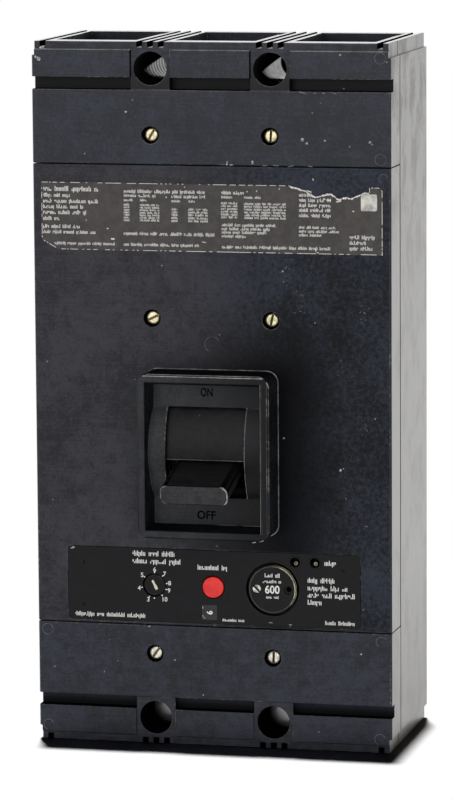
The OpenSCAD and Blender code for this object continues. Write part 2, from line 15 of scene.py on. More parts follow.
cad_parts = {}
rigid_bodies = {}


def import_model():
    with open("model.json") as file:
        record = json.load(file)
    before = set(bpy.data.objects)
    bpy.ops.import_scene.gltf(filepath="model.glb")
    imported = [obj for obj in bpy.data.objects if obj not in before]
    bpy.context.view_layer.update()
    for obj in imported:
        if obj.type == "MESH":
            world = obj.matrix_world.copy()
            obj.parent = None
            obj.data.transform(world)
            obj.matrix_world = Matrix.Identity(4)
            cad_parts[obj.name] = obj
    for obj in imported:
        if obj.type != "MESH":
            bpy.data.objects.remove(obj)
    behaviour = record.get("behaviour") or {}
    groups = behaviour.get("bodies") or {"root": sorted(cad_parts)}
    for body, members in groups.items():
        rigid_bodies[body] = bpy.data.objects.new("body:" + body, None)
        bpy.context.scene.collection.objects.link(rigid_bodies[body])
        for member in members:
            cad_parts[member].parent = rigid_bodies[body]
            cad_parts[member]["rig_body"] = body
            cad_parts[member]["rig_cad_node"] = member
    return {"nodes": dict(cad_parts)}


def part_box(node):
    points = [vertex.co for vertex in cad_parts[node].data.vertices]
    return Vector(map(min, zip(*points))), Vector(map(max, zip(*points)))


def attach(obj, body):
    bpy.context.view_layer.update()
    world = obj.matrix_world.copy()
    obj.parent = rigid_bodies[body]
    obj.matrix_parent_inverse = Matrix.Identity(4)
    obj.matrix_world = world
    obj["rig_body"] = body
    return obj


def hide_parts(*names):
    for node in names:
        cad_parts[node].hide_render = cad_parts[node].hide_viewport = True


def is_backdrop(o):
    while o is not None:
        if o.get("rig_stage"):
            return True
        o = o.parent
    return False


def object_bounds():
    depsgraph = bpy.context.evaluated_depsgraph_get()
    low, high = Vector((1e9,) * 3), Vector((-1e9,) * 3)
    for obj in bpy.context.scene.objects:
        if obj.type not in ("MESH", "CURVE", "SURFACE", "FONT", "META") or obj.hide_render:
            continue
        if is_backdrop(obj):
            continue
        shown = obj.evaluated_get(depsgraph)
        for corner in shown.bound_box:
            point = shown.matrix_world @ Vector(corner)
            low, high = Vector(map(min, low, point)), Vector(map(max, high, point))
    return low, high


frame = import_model()
nodes = frame["nodes"]
cad_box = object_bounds()
MM = 0.001
COVER_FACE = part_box("main_cover")[0].y
PLATE_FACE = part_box("trip_faceplate")[0].y
print("CAD nodes:", len(nodes), "cover face at y =", round(COVER_FACE / MM, 2), "mm")

# %% [markdown]
# The camera of the photograph stands a little to the right and above, far away
# with a long lens, so upright edges stay almost parallel. A camera could be
# aimed with a constraint, but its own three directions are known here from the
# pole spacing and the case size, so they go straight into its matrix.

# %% Camera
IMAGE_LONG_SIDE = 800
FOCAL_PIXELS = 4521
SENSOR_MM = 36
CAMERA_PLACE = (0.61383, -2.51300, 0.56615)
yaw, pitch, roll = (math.radians(a) for a in (13.685, 8.099, -0.399))
level_right = Vector((math.cos(yaw), math.sin(yaw), 0))
ahead = Vector((-math.sin(yaw) * math.cos(pitch), math.cos(yaw) * math.cos(pitch), -math.sin(pitch)))
level_up = level_right.cross(ahead)
camera_right = math.cos(roll) * level_right + math.sin(roll) * level_up
camera_up = math.cos(roll) * level_up - math.sin(roll) * level_right
bpy.ops.object.camera_add(location=CAMERA_PLACE)
camera = bpy.context.object
turn = Matrix((camera_right, camera_up, -ahead)).transposed()
camera.matrix_world = Matrix.Translation(CAMERA_PLACE) @ turn.to_4x4()
camera.data.sensor_width = SENSOR_MM
camera.data.lens = FOCAL_PIXELS / IMAGE_LONG_SIDE * SENSOR_MM
camera.data.clip_end = 60
bpy.context.scene.camera = camera
print("camera lens:", round(camera.data.lens, 1), "mm")

# %% [markdown]
# A finish is a tree of nodes. Linking nodes one by one hides the idea behind
# the links, so Wire wraps an output socket and lets Python's own signs add the
# Math nodes: 1 - mask, or 0.3 + 0.1 * grain. Nodes.add makes any other node.

# %% Sums on sockets


class Wire:
    """One output socket of a finish. Sums on it add Math nodes."""

    def __init__(self, nodes, socket):
        self.nodes = nodes
        self.socket = socket

    def sum(self, operation, first, second):
        return self.nodes.add("ShaderNodeMath", {"operation": operation}, {0: first, 1: second})

    def __add__(self, other):
        return self.sum("ADD", self, other)

    def __radd__(self, other):
        return self.sum("ADD", other, self)

    def __sub__(self, other):
        return self.sum("SUBTRACT", self, other)

    def __rsub__(self, other):
        return self.sum("SUBTRACT", other, self)

    def __mul__(self, other):
        return self.sum("MULTIPLY", self, other)

    def __rmul__(self, other):
        return self.sum("MULTIPLY", other, self)

    def __lt__(self, limit):
        return self.sum("LESS_THAN", self, limit)

    def __abs__(self):
        return self.sum("ABSOLUTE", self, 0)

    def between(self, low, high, start=0.0, end=1.0):
        """Rise smoothly from start to end as this goes from low to high."""
        settings = {"interpolation_type": "SMOOTHSTEP", "clamp": True}
        return self.nodes.add("ShaderNodeMapRange", settings, {0: self, 1: low, 2: high, 3: start, 4: end})


class Nodes:
    """A node tree to build in."""

    def __init__(self, tree):
        self.tree = tree

    def add(self, kind, settings=None, sockets=None, out=0):
        made = self.tree.nodes.new(kind)
        for key, value in (settings or {}).items():
            setattr(made, key, value)
        for key, value in (sockets or {}).items():
            self.join(value, made.inputs[key])
        return Wire(self, made.outputs[out])

    def join(self, value, socket):
        if isinstance(value, Wire):
            self.tree.links.new(value.socket, socket)
        else:
            socket.default_value = value


# %% [markdown]
# Every finish here starts from the same Principled shader on Object
# coordinates, in metres, so a noise scale of 1000 has grains of about 1 mm.
# Finish keeps the few patterns that all the finishes share.

# %% A finish and its patterns
SPECK_CELLS, SPECK_SIZE = 420, 0.2


class Finish(Nodes):
    """A procedural material on Object coordinates."""

    def __init__(self, name, constants=None):
        self.material = bpy.data.materials.new(name)
        self.material.use_nodes = True
        super().__init__(self.material.node_tree)
        self.shader = self.tree.nodes["Principled BSDF"]
        for socket, value in (constants or {}).items():
            self.shader.inputs[socket].default_value = value
        self.place = self.add("ShaderNodeTexCoord", out="Object")

    def noise(self, scale, detail=3.0, roughness=0.5, stretch=None, distortion=0.0):
        place = self.place
        if stretch:
            place = self.add("ShaderNodeMapping", None, {"Vector": place, "Scale": stretch})
        sockets = {"Vector": place, "Scale": scale, "Detail": detail}
        sockets.update({"Roughness": roughness, "Distortion": distortion})
        return self.add("ShaderNodeTexNoise", None, sockets)

    def specks(self, share):
        """Small round grains of dust: some cells of a Voronoi pattern, each filled near its middle."""
        sockets = {"Vector": self.place, "Scale": SPECK_CELLS}
        near = self.add("ShaderNodeTexVoronoi", None, sockets, out="Distance")
        chance = self.add("ShaderNodeTexVoronoi", None, sockets, out="Color")
        red = self.add("ShaderNodeSeparateColor", None, {0: chance}, out=0)
        green = self.add("ShaderNodeSeparateColor", None, {0: chance}, out=1)
        return (red < share) * (near < (SPECK_SIZE * green))

    def part(self, axis):
        """One part of the place on the piece: X, Y or Z, in metres."""
        return self.add("ShaderNodeSeparateXYZ", None, {0: self.place}, out=axis)

    def mix(self, factor, first, second):
        return self.add("ShaderNodeMix", {"data_type": "RGBA"}, {0: factor, 6: first, 7: second}, out=2)

    def bump(self, height, distance, strength):
        sockets = {"Height": height, "Distance": distance, "Strength": strength}
        return self.add("ShaderNodeBump", None, sockets)

    def blend(self, factor, other):
        """Go over to another shader where the factor is 1."""
        own = Wire(self, self.shader.outputs[0])
        mixed = self.add("ShaderNodeMixShader", None, {0: factor, 1: own, 2: other})
        self.join(mixed, self.tree.nodes["Material Output"].inputs["Surface"])

    def feed(self, colour, rough=None, normal=None):
        fed = {"Base Color": colour, "Roughness": rough, "Normal": normal}
        for socket, value in fed.items():
            if value is not None:
                self.join(value, self.shader.inputs[socket])
        return self.material


def shade(red, green, blue):
    """A colour as it reads on screen, 0 to 255, turned into the linear values that nodes use."""
    linear = []
    for part in (red, green, blue):
        part = part / 255
        linear.append(part / 12.92 if part <= 0.04045 else ((part + 0.055) / 1.055) ** 2.4)
    return (*linear, 1.0)


print("a middle grey in linear light:", round(shade(128, 128, 128)[0], 3))

# %% [markdown]
# The case is black phenolic: hard, a little blue and cloudy from years of
# handling. Its patches come in three sizes, about 40, 5 and 1.5 mm, and fine
# level brush marks, mixed into one tone. The main cover is greyer at the left
# and mottled at the right, so its colour fades along X. Beside the handle it
# is blackest, which is painted shade, and the collar's darker right half is
# painted shade as well. A black that is only dark in Base Color would still
# mirror the white studio, so the IOR is set low as well.

# %% Black phenolic
DUST = shade(120, 120, 120)
BRUSHED = (50, 50, 1400)
FADE_X = (-0.025, 0.045)
SHADE_X, SHADE_Z = (0.085, 0.045), (0.26, 0.21)


def phenolic(name, dark, pale, rough, ior=1.32, fade_and_shade=None, painted_shade=0.0, worn=None, worn_share=(0.56, 0.66),
             worn_from=None, dust=0.008, specular=0.5):
    """Black phenolic. It may be mottled at the right, painted with shade beside the handle, or rubbed."""
    finish = Finish(name, {"IOR": ior, "Specular IOR Level": specular})
    cloud = finish.noise(24, detail=4, roughness=0.6)
    blot = finish.noise(190, detail=3, roughness=0.55, distortion=0.6)
    fleck = finish.noise(700, detail=2)
    grain = finish.noise(1500, detail=2)
    brush = finish.noise(1.0, detail=2, stretch=BRUSHED)
    tone = (0.33 * cloud + 0.27 * blot + 0.27 * fleck + 0.13 * brush).between(0.4, 0.6)
    colour = finish.mix(tone, shade(*dark), shade(*pale))
    if fade_and_shade:
        coarse = finish.noise(18, detail=6, roughness=0.6)
        fine = finish.noise(380, detail=6, roughness=0.78)
        # Beside the handle the mottle is cut back and the finish blends to flat black: painted shade.
        shade_by_handle = finish.part("X").between(*SHADE_X) * finish.part("Z").between(*SHADE_Z)
        smudge = (0.45 * coarse + 0.55 * fine).between(0.4, 0.62) * (1 - 0.7 * shade_by_handle)
        clean_and_shade = finish.mix(smudge, shade(*fade_and_shade[0]), shade(*fade_and_shade[1]))
        rightward = finish.part("X").between(*FADE_X)
        colour = finish.mix(rightward, colour, clean_and_shade)
        black = finish.add("ShaderNodeBsdfDiffuse", None, {"Color": shade(12, 12, 14)})
        finish.blend(painted_shade * shade_by_handle * rightward, black)
    if worn:
        rubbed = 0.55 * finish.noise(60, detail=5, roughness=0.7) + 0.45 * finish.noise(420, detail=3)
        rubbed = rubbed.between(*worn_share)
        if worn_from:
            rubbed = rubbed * finish.part("X").between(*worn_from)
        colour = finish.mix(rubbed, colour, shade(*worn))
    colour = finish.mix(finish.specks(dust), colour, DUST)
    gloss = rough + 0.16 * (blot - 0.5) + 0.12 * (cloud - 0.5)
    return finish.feed(colour=colour, rough=gloss, normal=finish.bump(grain, 0.00003, 0.3))


case_black = phenolic("case_phenolic", (20, 22, 29), (43, 46, 58), 0.36)
print("nodes in the case's black:", len(case_black.node_tree.nodes))

# %% [markdown]
# Each black part of the real breaker has aged in its own way: edges that hands
# and tools rub have gone grey. Some finishes are painted light instead: pale
# edges for highlights, and dark matt ones for what lies in shade. One finish
# with a mask for every part could do it, but a pair of tones for each part is
# easier to match.

# %% Black finishes
# The cover fades to mottled tones at the right, with painted shade beside the handle; on the collar the
# darker tones and the blend to black are painted shade.
COVER_FADE_AND_SHADE = {"fade_and_shade": ((3, 4, 6), (46, 51, 63)), "painted_shade": 0.65}
COLLAR_SHADE = {"fade_and_shade": ((3, 4, 5), (30, 32, 36)), "painted_shade": 0.3}
CASE_RUBBED = {"worn": (104, 103, 100), "worn_share": (0.52, 0.64)}
HANDLE_RUBBED = {"worn": (118, 117, 113), "worn_share": (0.47, 0.6)}
COLLAR_RUBBED = {**HANDLE_RUBBED, "worn_from": (-0.029, -0.024)}
FOOT_RUBBED = {"worn": (150, 150, 147), "worn_share": (0.36, 0.5), "worn_from": (0.002, 0.012)}
MATT = {"dust": 0, "specular": 0}
cover_black = phenolic("cover_phenolic", (38, 38, 43), (58, 58, 64), 0.36, 1.22, **COVER_FADE_AND_SHADE)
case_edge = phenolic("case_phenolic_edge", (26, 27, 32), (42, 44, 50), 0.42, **CASE_RUBBED)
# The line end's channel is painted near black as shade.
channel_shade = phenolic("channel_painted_shade", (6, 6, 8), (16, 16, 18), 0.5, 1.22)
# Pale rubbed edges that also carry a painted highlight.
rubbed_edge_and_highlight = phenolic("rubbed_edge_and_highlight", (92, 92, 93), (142, 141, 138), 0.45)
# A painted highlight for the pads' upper edges.
pad_edge_highlight = phenolic("pad_edge_painted_highlight", (66, 66, 69), (112, 112, 112), 0.45)
# Thin pale edges: wear with a painted highlight.
thin_edge_wear_and_highlight = phenolic("thin_edge_wear_and_painted_highlight", (112, 112, 113), (178, 176, 172), 0.45)
# The ejector rings' pale line: a painted highlight.
ring_painted_highlight = phenolic("ring_painted_highlight", (72, 74, 80), (116, 118, 124), 0.45)
handle_black = phenolic("handle_phenolic", (12, 12, 13), (29, 29, 29), 0.45, 1.24)
lever_black = phenolic("lever_phenolic", (36, 36, 39), (56, 55, 57), 0.45, 1.28)
handle_edge = phenolic("handle_phenolic_edge", (44, 44, 45), (78, 77, 76), 0.44, **HANDLE_RUBBED)
collar_black = phenolic("collar_phenolic", (30, 31, 34), (48, 50, 54), 0.4, 1.28, **COLLAR_SHADE)
collar_edge = phenolic("collar_phenolic_edge", (30, 31, 33), (48, 49, 51), 0.44, **COLLAR_RUBBED)
foot_edge = phenolic("floor_edge", (18, 19, 21), (34, 35, 38), 0.5, **FOOT_RUBBED)
trip_black = phenolic("trip_phenolic", (5, 5, 6), (16, 16, 17), 0.45, 1.25)
trip_edge = phenolic("trip_phenolic_edge", (14, 14, 15), (38, 37, 35), 0.45, 1.28, worn=(84, 82, 76))
# Dark matt finishes for faces in shade are painted shade; the dirt one also fills the parting line and the
# sunk letters.
collar_wall = phenolic("collar_wall", (18, 19, 22), (34, 35, 39), 0.7, **MATT)
dirt_and_shade = phenolic("dirt_and_shade", (8, 8, 8), (18, 17, 15), 0.8, **MATT)
# Screw slots: darker finishes, paler in the left screws.
slot_dark = phenolic("slot_darker", (62, 56, 45), (98, 90, 72), 0.7, **MATT)
slot_pale = phenolic("slot_paler", (104, 96, 78), (146, 136, 112), 0.6, **MATT)
print("black finishes:", len(bpy.data.materials))

# %% [markdown]
# Four parts of the case get a finish of their own. The sides are glossy: a Coat
# over the black mirrors the white studio at a flat angle, as the real side does,
# and stains dull it, more of them towards the top. Towards the foot the coat
# thins as well, which is painted shade. The strips at the ends take painted shade
# round the line end's bores, and the load end's channel is painted blackest at its
# foot as shade. The end faces are smooth, so they mirror the white behind them too.

# %% Sides, strips and ends
CASE_HALF, CASE_TOP = 104.775, 406.4
BORE_X, BORE_END = 34.925, 15.2
LAND_WIDE = 23.1
LAND_SHADE_SPAN = (6 * MM, 25 * MM)
CHANNEL_LOW, CHANNEL_HIGH, CHANNEL_DEEP = 20.4, 27.4, 7


def glossed(name, dark, pale, rough):
    """Black phenolic with a clear gloss, hazed by upright streaks, dulled by stains, and thinned towards the
    foot as a painted shade.
    """
    finish = Finish(name, {"IOR": 1.6, "Coat IOR": 1.6, "Coat Roughness": 0.3})
    streak = finish.noise(1.0, detail=4, roughness=0.6, stretch=(240, 240, 6))
    rub = finish.noise(1.0, detail=3, stretch=(900, 900, 60))
    cloud = finish.noise(45, detail=5, roughness=0.65)
    tone = (0.25 * streak + 0.25 * rub + 0.5 * cloud).between(0.36, 0.64)
    colour = finish.mix(tone, shade(*dark), shade(*pale))
    colour = finish.mix(finish.specks(0.05) * 0.5, colour, DUST)
    stain = finish.noise(1.0, detail=8, roughness=0.72, stretch=(60, 60, 36)).between(0.46, 0.62)
    upper = finish.part("Z").between(0.24, 0.42)
    # Towards the foot the coat thins: a painted shade.
    foot_shade = finish.part("Z").between(0.12, 0.0)
    clean_and_shade = 0.9 + 0.1 * tone - 0.2 * upper - 0.4 * foot_shade
    finish.join(clean_and_shade * (1 - stain * (0.25 + 0.5 * upper)), finish.shader.inputs["Coat Weight"])
    return finish.feed(colour=colour, rough=rough + 0.08 * (tone - 0.5))


def landed(name, dark, pale, shade_tone):
    """The strip at an end and the lands round its bores, which take a painted shade towards the line end's
    channel.
    """
    finish = Finish(name, {"IOR": 1.28})
    blot = finish.noise(190, detail=4, roughness=0.6)
    brush = finish.noise(1.0, detail=2, stretch=BRUSHED)
    colour = finish.mix((0.6 * blot + 0.4 * brush).between(0.38, 0.62), shade(*dark), shade(*pale))
    # Lands near the line end's channel darken: painted shade.
    from_top = CASE_TOP * MM - finish.part("Z")
    land = abs(abs(finish.part("X")) - BORE_X * MM) < LAND_WIDE / 2 * MM
    shaded_land = land * (from_top < CASE_TOP / 2 * MM)
    colour = finish.mix(shaded_land * from_top.between(*LAND_SHADE_SPAN), colour, shade(*shade_tone))
    return finish.feed(colour=colour, rough=0.4 + 0.16 * (blot - 0.5))


def channelled(name, foot, head):
    """The load end's channel, painted black along its foot as shade."""
    finish = Finish(name, {"IOR": 1.15})
    blot = finish.noise(190, detail=4, roughness=0.6)
    rise = finish.part("Z").between((CHANNEL_LOW + 1) * MM, CHANNEL_HIGH * MM) * blot.between(0.1, 0.5)
    return finish.feed(colour=finish.mix(rise, shade(*foot), shade(*head)), rough=0.5)


def polished(name, dark, pale, rough, ior):
    """Smooth black with faint clouds."""
    finish = Finish(name, {"IOR": ior})
    cloud = finish.noise(160, detail=4, roughness=0.6)
    colour = finish.mix(cloud.between(0.36, 0.64), shade(*dark), shade(*pale))
    return finish.feed(colour=colour, rough=rough + 0.1 * (cloud - 0.5))


side_gloss = glossed("case_side", (51, 48, 43), (81, 76, 69), 0.42)
strip_black = landed("strip_phenolic", (34, 35, 41), (52, 54, 62), (14, 14, 16))
load_channel_shade = channelled("load_channel_painted_shade", (6, 6, 8), (44, 46, 54))
end_gloss = polished("case_end", (26, 26, 29), (44, 44, 47), 0.2, 1.5)
print("finishes so far:", len(bpy.data.materials))

# %% [markdown]
# Deep in the mounting bores a wedge of the wall mirrors the white behind the
# case, and the rest is black. Both are the same wall, so the finish blends from
# polished to a flat black by the depth and by the place round the bore. The black
# is painted shade, and the wedge's outline is painted where the gloss may
# mirror. The wedge comes up slowly from its tip, and in one bore it is broken up
# by rings, as a bolt's thread leaves them.

# %% Mounting bores
RING_PITCH = 6 * MM
WEDGE_RISE = 0.111
TIP_FADE, FAR_FADE = 14 * MM, 3 * MM
SOFT = 0.9 * MM


def bored(name, axis_z, start, far, bright, unlit, height=0.0, fall=0.0, rings=False):
    """A bore's wall: a painted wedge where it mirrors starts at a depth and a height, and opens up and down
    with the depth; the rest is painted black shade.
    """
    finish = Finish(name, {"IOR": 1.8})
    cloud = finish.noise(160, detail=4, roughness=0.6)
    colour = finish.mix(cloud.between(0.36, 0.64), shade(8, 8, 8), shade(16, 16, 16))
    depth = finish.part("Y") - COVER_FACE
    if fall:
        deeper = depth - start * MM
        above = finish.part("Z") - (axis_z + height) * MM
        wedge = (above - WEDGE_RISE * deeper).between(0, -SOFT) * (above + fall * deeper).between(0, SOFT)
        wedge = wedge * depth.between(far * MM, far * MM - FAR_FADE) * deeper.between(0, TIP_FADE, 0.15, 1)
        wedge = wedge * finish.noise(240, detail=4, roughness=0.6).between(0.3, 0.6, 0.7, 1)
    else:
        wedge = depth.between(start * MM, far * MM)
    if rings:
        wave = finish.add("ShaderNodeMath", {"operation": "SINE"}, {0: depth * (2 * math.pi / RING_PITCH)})
        wedge = wedge * wave.between(-0.9, 0.7, 0.4, 1)
    # Outside the wedge the wall blends to flat black: painted shade.
    black = finish.add("ShaderNodeBsdfDiffuse", None, {"Color": shade(unlit, unlit, unlit)})
    finish.blend(1 - bright * wedge, black)
    return finish.feed(colour=colour, rough=0.14 + 0.1 * (cloud - 0.5))


LINE_BORES, LOAD_BORES = CASE_TOP - BORE_END, BORE_END
BORES = (
    (-BORE_X, LINE_BORES, bored("line_bore_left", LINE_BORES, 20, 76, 1.0, 26, -2.2, 0.4, rings=True)),
    (BORE_X, LINE_BORES, bored("line_bore_right", LINE_BORES, 18.7, 71, 0.9, 26, -2.5, 0.53)),
    (-BORE_X, LOAD_BORES, bored("load_bore_left", LOAD_BORES, 30, 68, 0.85, 10)),
    (BORE_X, LOAD_BORES, bored("load_bore_right", LOAD_BORES, 30, 68, 0.85, 10)),
)
print("bore finishes:", len(BORES))

# %% [markdown]
# The small parts need finishes of their own: a matt film for the faceplate,
# scratched metal for the screws, copper for the straps, moulded red for the
# trip button, and white ink. Metal is one Principled shader with Metallic near
# 1, and its age is in the colour and roughness, not in a second layer.

# %% Films, metals, ink
PLUG_X, PLUG_Z = 35.0, 93.3


def film(name, dark, pale, rough, ior=1.42, speck=0.0):
    """Printed matt film: fine mottling and, where it is old, small uneven specks."""
    finish = Finish(name, {"IOR": ior})
    mottle = finish.noise(160, detail=5, roughness=0.7)
    grain = finish.noise(1900, detail=2)
    colour = finish.mix(mottle.between(0.35, 0.65), shade(*dark), shade(*pale))
    ragged = finish.noise(900, detail=4, roughness=0.8).between(0.68, 0.74)
    colour = finish.mix(ragged * speck, colour, DUST)
    gloss = rough + 0.2 * (mottle - 0.5)
    return finish.feed(colour=colour, rough=gloss, normal=finish.bump(grain, 0.00002, 0.4))


def metal(name, bright, dull, rough):
    """Old plated metal: tarnish in patches, fine scratches, dirt in the low spots."""
    finish = Finish(name, {"Metallic": 0.85})
    tarnish = finish.noise(380, detail=5, roughness=0.65)
    scratch = finish.noise(1.0, detail=3, stretch=(2600, 400, 500))
    colour = finish.mix(tarnish.between(0.38, 0.66), shade(*bright), shade(*dull))
    gloss = rough + 0.25 * (tarnish - 0.5) + 0.15 * (scratch - 0.5)
    return finish.feed(colour=colour, rough=gloss, normal=finish.bump(scratch + tarnish, 0.00005, 0.35))


def tinted(name, colour_a, colour_b, rough, scale=300):
    """Ink, paper or coloured plastic: two close tones in a fine mottle."""
    finish = Finish(name)
    mottle = finish.noise(scale, detail=4, roughness=0.6)
    colour = finish.mix(mottle.between(0.35, 0.65), shade(*colour_a), shade(*colour_b))
    gloss = rough + 0.15 * (mottle - 0.5)
    return finish.feed(colour=colour, rough=gloss, normal=finish.bump(mottle, 0.00003, 0.4))


def lit_rim(name, dim, bright):
    """The rim of the plug, bright at its upper right: rubbed, with a painted highlight."""
    finish = Finish(name)
    # The lean towards the upper right places the painted highlight on the worn rim.
    lean = 0.9 * (finish.part("X") - PLUG_X * MM) + 0.4 * (finish.part("Z") - PLUG_Z * MM)
    mottle = finish.noise(300, detail=4, roughness=0.6)
    rubbed = lean.between(4 * MM, 12 * MM) * mottle.between(0.25, 0.6)
    return finish.feed(colour=finish.mix(rubbed, shade(*dim), shade(*bright)), rough=0.5)


plug_rim_wear_and_highlight = lit_rim("plug_rim_wear_and_highlight", (52, 51, 48), (205, 198, 170))
print("nodes in the plug's rim:", len(plug_rim_wear_and_highlight.node_tree.nodes))

# %% [markdown]
# The real screws have yellowed, the copper is dull and the ink has greyed. One
# flat colour each would look like paint in a close view, so each finish gets two
# tones: a bright and a dull one for metal, and two close ones for the rest.

# %% Finishes in use
plate_film = film("faceplate", (3, 3, 5), (11, 11, 15), 0.5, 1.26)
label_film = film("rating_label_film", (50, 46, 46), (68, 63, 63), 0.62, speck=0.8)
sticker_film = film("inspection_sticker", (20, 20, 22), (34, 34, 36), 0.55)
foil = film("silver_sticker", (150, 148, 140), (222, 220, 212), 0.5)
screw_metal = metal("screw_metal", (226, 214, 178), (168, 156, 122), 0.36)
pale_metal = metal("pale_screw_metal", (222, 217, 204), (156, 150, 136), 0.4)
jack_metal = metal("steel", (150, 140, 124), (96, 88, 76), 0.4)
plug_metal = metal("plug_screw_metal", (206, 204, 198), (96, 95, 90), 0.4)
copper = metal("copper", (196, 128, 94), (120, 74, 54), 0.38)
red_plastic = tinted("red_plastic", (216, 14, 8), (240, 40, 28), 0.34, scale=140)
# Dust round the collar; as a line along the top and right it is also a painted highlight.
collar_dust_and_highlight = tinted("collar_dust_and_highlight", (72, 72, 73), (150, 150, 147), 0.6, scale=140)
white_ink = tinted("white_ink", (214, 214, 210), (240, 240, 237), 0.6, scale=900)
grey_ink = tinted("grey_ink", (196, 195, 190), (242, 240, 235), 0.65, scale=1400)
paper = tinted("torn_paper", (196, 190, 176), (240, 238, 230), 0.85, scale=1600)
cream_paint = tinted("pointer_cream", (206, 196, 168), (228, 220, 198), 0.55, scale=700)
chip_white = tinted("bare_chip", (96, 97, 100), (196, 196, 193), 0.8, scale=900)
scuff_grey = tinted("scuff", (70, 71, 75), (128, 129, 131), 0.7, scale=900)
# Groove floors: a pale painted glint.
groove_floor_painted_glint = tinted("groove_floor_painted_glint", (92, 90, 86), (134, 131, 125), 0.8, scale=900)
print("finishes in all:", len(bpy.data.materials))

# %% [markdown]
# Blender's operators act on whatever is selected, so each step first selects
# only its own piece. These few helpers are the moves that every piece needs:
# pick it, apply a modifier, put its place into its mesh, join and hand over.

# %% Helpers for working on one piece


def only(*chosen):
    """Select just these objects in object mode, the first one active."""
    if bpy.context.mode != "OBJECT":
        bpy.ops.object.mode_set(mode="OBJECT")
    bpy.ops.object.select_all(action="DESELECT")
    for each in chosen:
        each.select_set(True)
    bpy.context.view_layer.objects.active = chosen[0]
    return chosen[0]


def add_modifier(piece, kind, **settings):
    only(piece)
    modifier = piece.modifiers.new(kind.title(), kind)
    for key, value in settings.items():
        setattr(modifier, key, value)
    bpy.ops.object.modifier_apply(modifier=modifier.name)


def place_into_mesh(piece):
    only(piece)
    bpy.ops.object.transform_apply(location=True, rotation=True, scale=True)
    return piece


def in_edit(piece, *steps):
    """Run operators on the whole mesh in edit mode."""
    only(piece)
    bpy.ops.object.mode_set(mode="EDIT")
    bpy.ops.mesh.select_all(action="SELECT")
    for step, settings in steps:
        step(**settings)
    bpy.ops.object.mode_set(mode="OBJECT")


def joined(parts):
    """Join pieces into the first one."""
    only(*parts)
    if len(parts) > 1:
        bpy.ops.object.join()
    return bpy.context.object


def hand_over(piece, name, body, finish=None):
    """Name a finished piece, give it its finish and tie it to a body of the part."""
    piece.name = name
    piece.data.name = name
    if finish:
        piece.data.materials.append(finish)
    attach(piece, body)
    return piece


# %% [markdown]
# A moulding never has razor edges. The CAD solids do, so each one is copied, its
# loose triangles are merged into whole faces, and a Bevel modifier rounds the
# edges. A hand-made cage would do the same with far more work. The bevel puts
# its own faces on the second finish, and that is where the edges look worn. The
# mouths of the terminal wells are carved wider at the back before the bevel, so
# that only a thin rim is left there.

# %% Soft-edged copies of the solids
EDGE_ANGLE, EDGE_RINGS = math.radians(38), 2
POLE_PITCH, WELL_WIDE = 69.85, 46.6
WELL_BACK_Y, RIM_BACK_Y = COVER_FACE / MM + 73.2, COVER_FACE / MM + 92.2
MOUTH_DEEP, MOUTH_SPARE = 12, 0.8
PLAIN_FACES, EDGE_FACES = 0, 1
WHOLE_FACES = (
    (bpy.ops.mesh.remove_doubles, {"threshold": 1e-6}),
    (bpy.ops.mesh.dissolve_limited, {"angle_limit": math.radians(0.4)}),
)


def block(middle, size, clock=0.0):
    """A box by its middle and size in millimetres, turned like the hand of a clock."""
    bpy.ops.mesh.primitive_cube_add(size=1)
    made = bpy.context.object
    made.scale = [side * MM for side in size]
    made.rotation_euler = (0, math.radians(clock), 0)
    made.location = [part * MM for part in middle]
    return place_into_mesh(made)


def carve(piece, cutter):
    """Cut a shape out of a piece. The new faces take the cutter's finish."""
    cut = {"operation": "DIFFERENCE", "object": cutter, "solver": "EXACT", "material_mode": "TRANSFER"}
    add_modifier(piece, "BOOLEAN", **cut)
    only(cutter)
    bpy.ops.object.delete()


def open_mouths(base, finish):
    """Carve the mouths of the terminal wells back to a thin rim."""
    front, back = WELL_BACK_Y - 1, RIM_BACK_Y
    size = (WELL_WIDE + 2 * MOUTH_SPARE, back - front, MOUTH_DEEP + 1)
    for pole in (-1, 0, 1):
        for z in ((MOUTH_DEEP - 1) / 2, CASE_TOP - (MOUTH_DEEP - 1) / 2):
            mouth = block((pole * POLE_PITCH, (front + back) / 2, z), size)
            mouth.data.materials.append(finish)
            carve(base, mouth)


def soft_copy(node, edge_mm, finish, edge_finish):
    """A copy of a solid with whole faces and rounded edges."""
    only(nodes[node])
    bpy.ops.object.duplicate(linked=False)
    copy = bpy.context.object
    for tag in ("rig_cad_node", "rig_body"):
        del copy[tag]
    copy.data.materials.clear()
    copy.data.materials.append(finish)
    copy.data.materials.append(edge_finish)
    in_edit(copy, *WHOLE_FACES)
    if node == "base":
        open_mouths(copy, finish)
        in_edit(copy, *WHOLE_FACES)
    bevel = {"width": edge_mm * MM, "segments": EDGE_RINGS, "material": EDGE_FACES}
    bevel.update({"limit_method": "ANGLE", "angle_limit": EDGE_ANGLE, "miter_outer": "MITER_SHARP"})
    add_modifier(copy, "BEVEL", **bevel, use_clamp_overlap=False, loop_slide=False)
    return copy


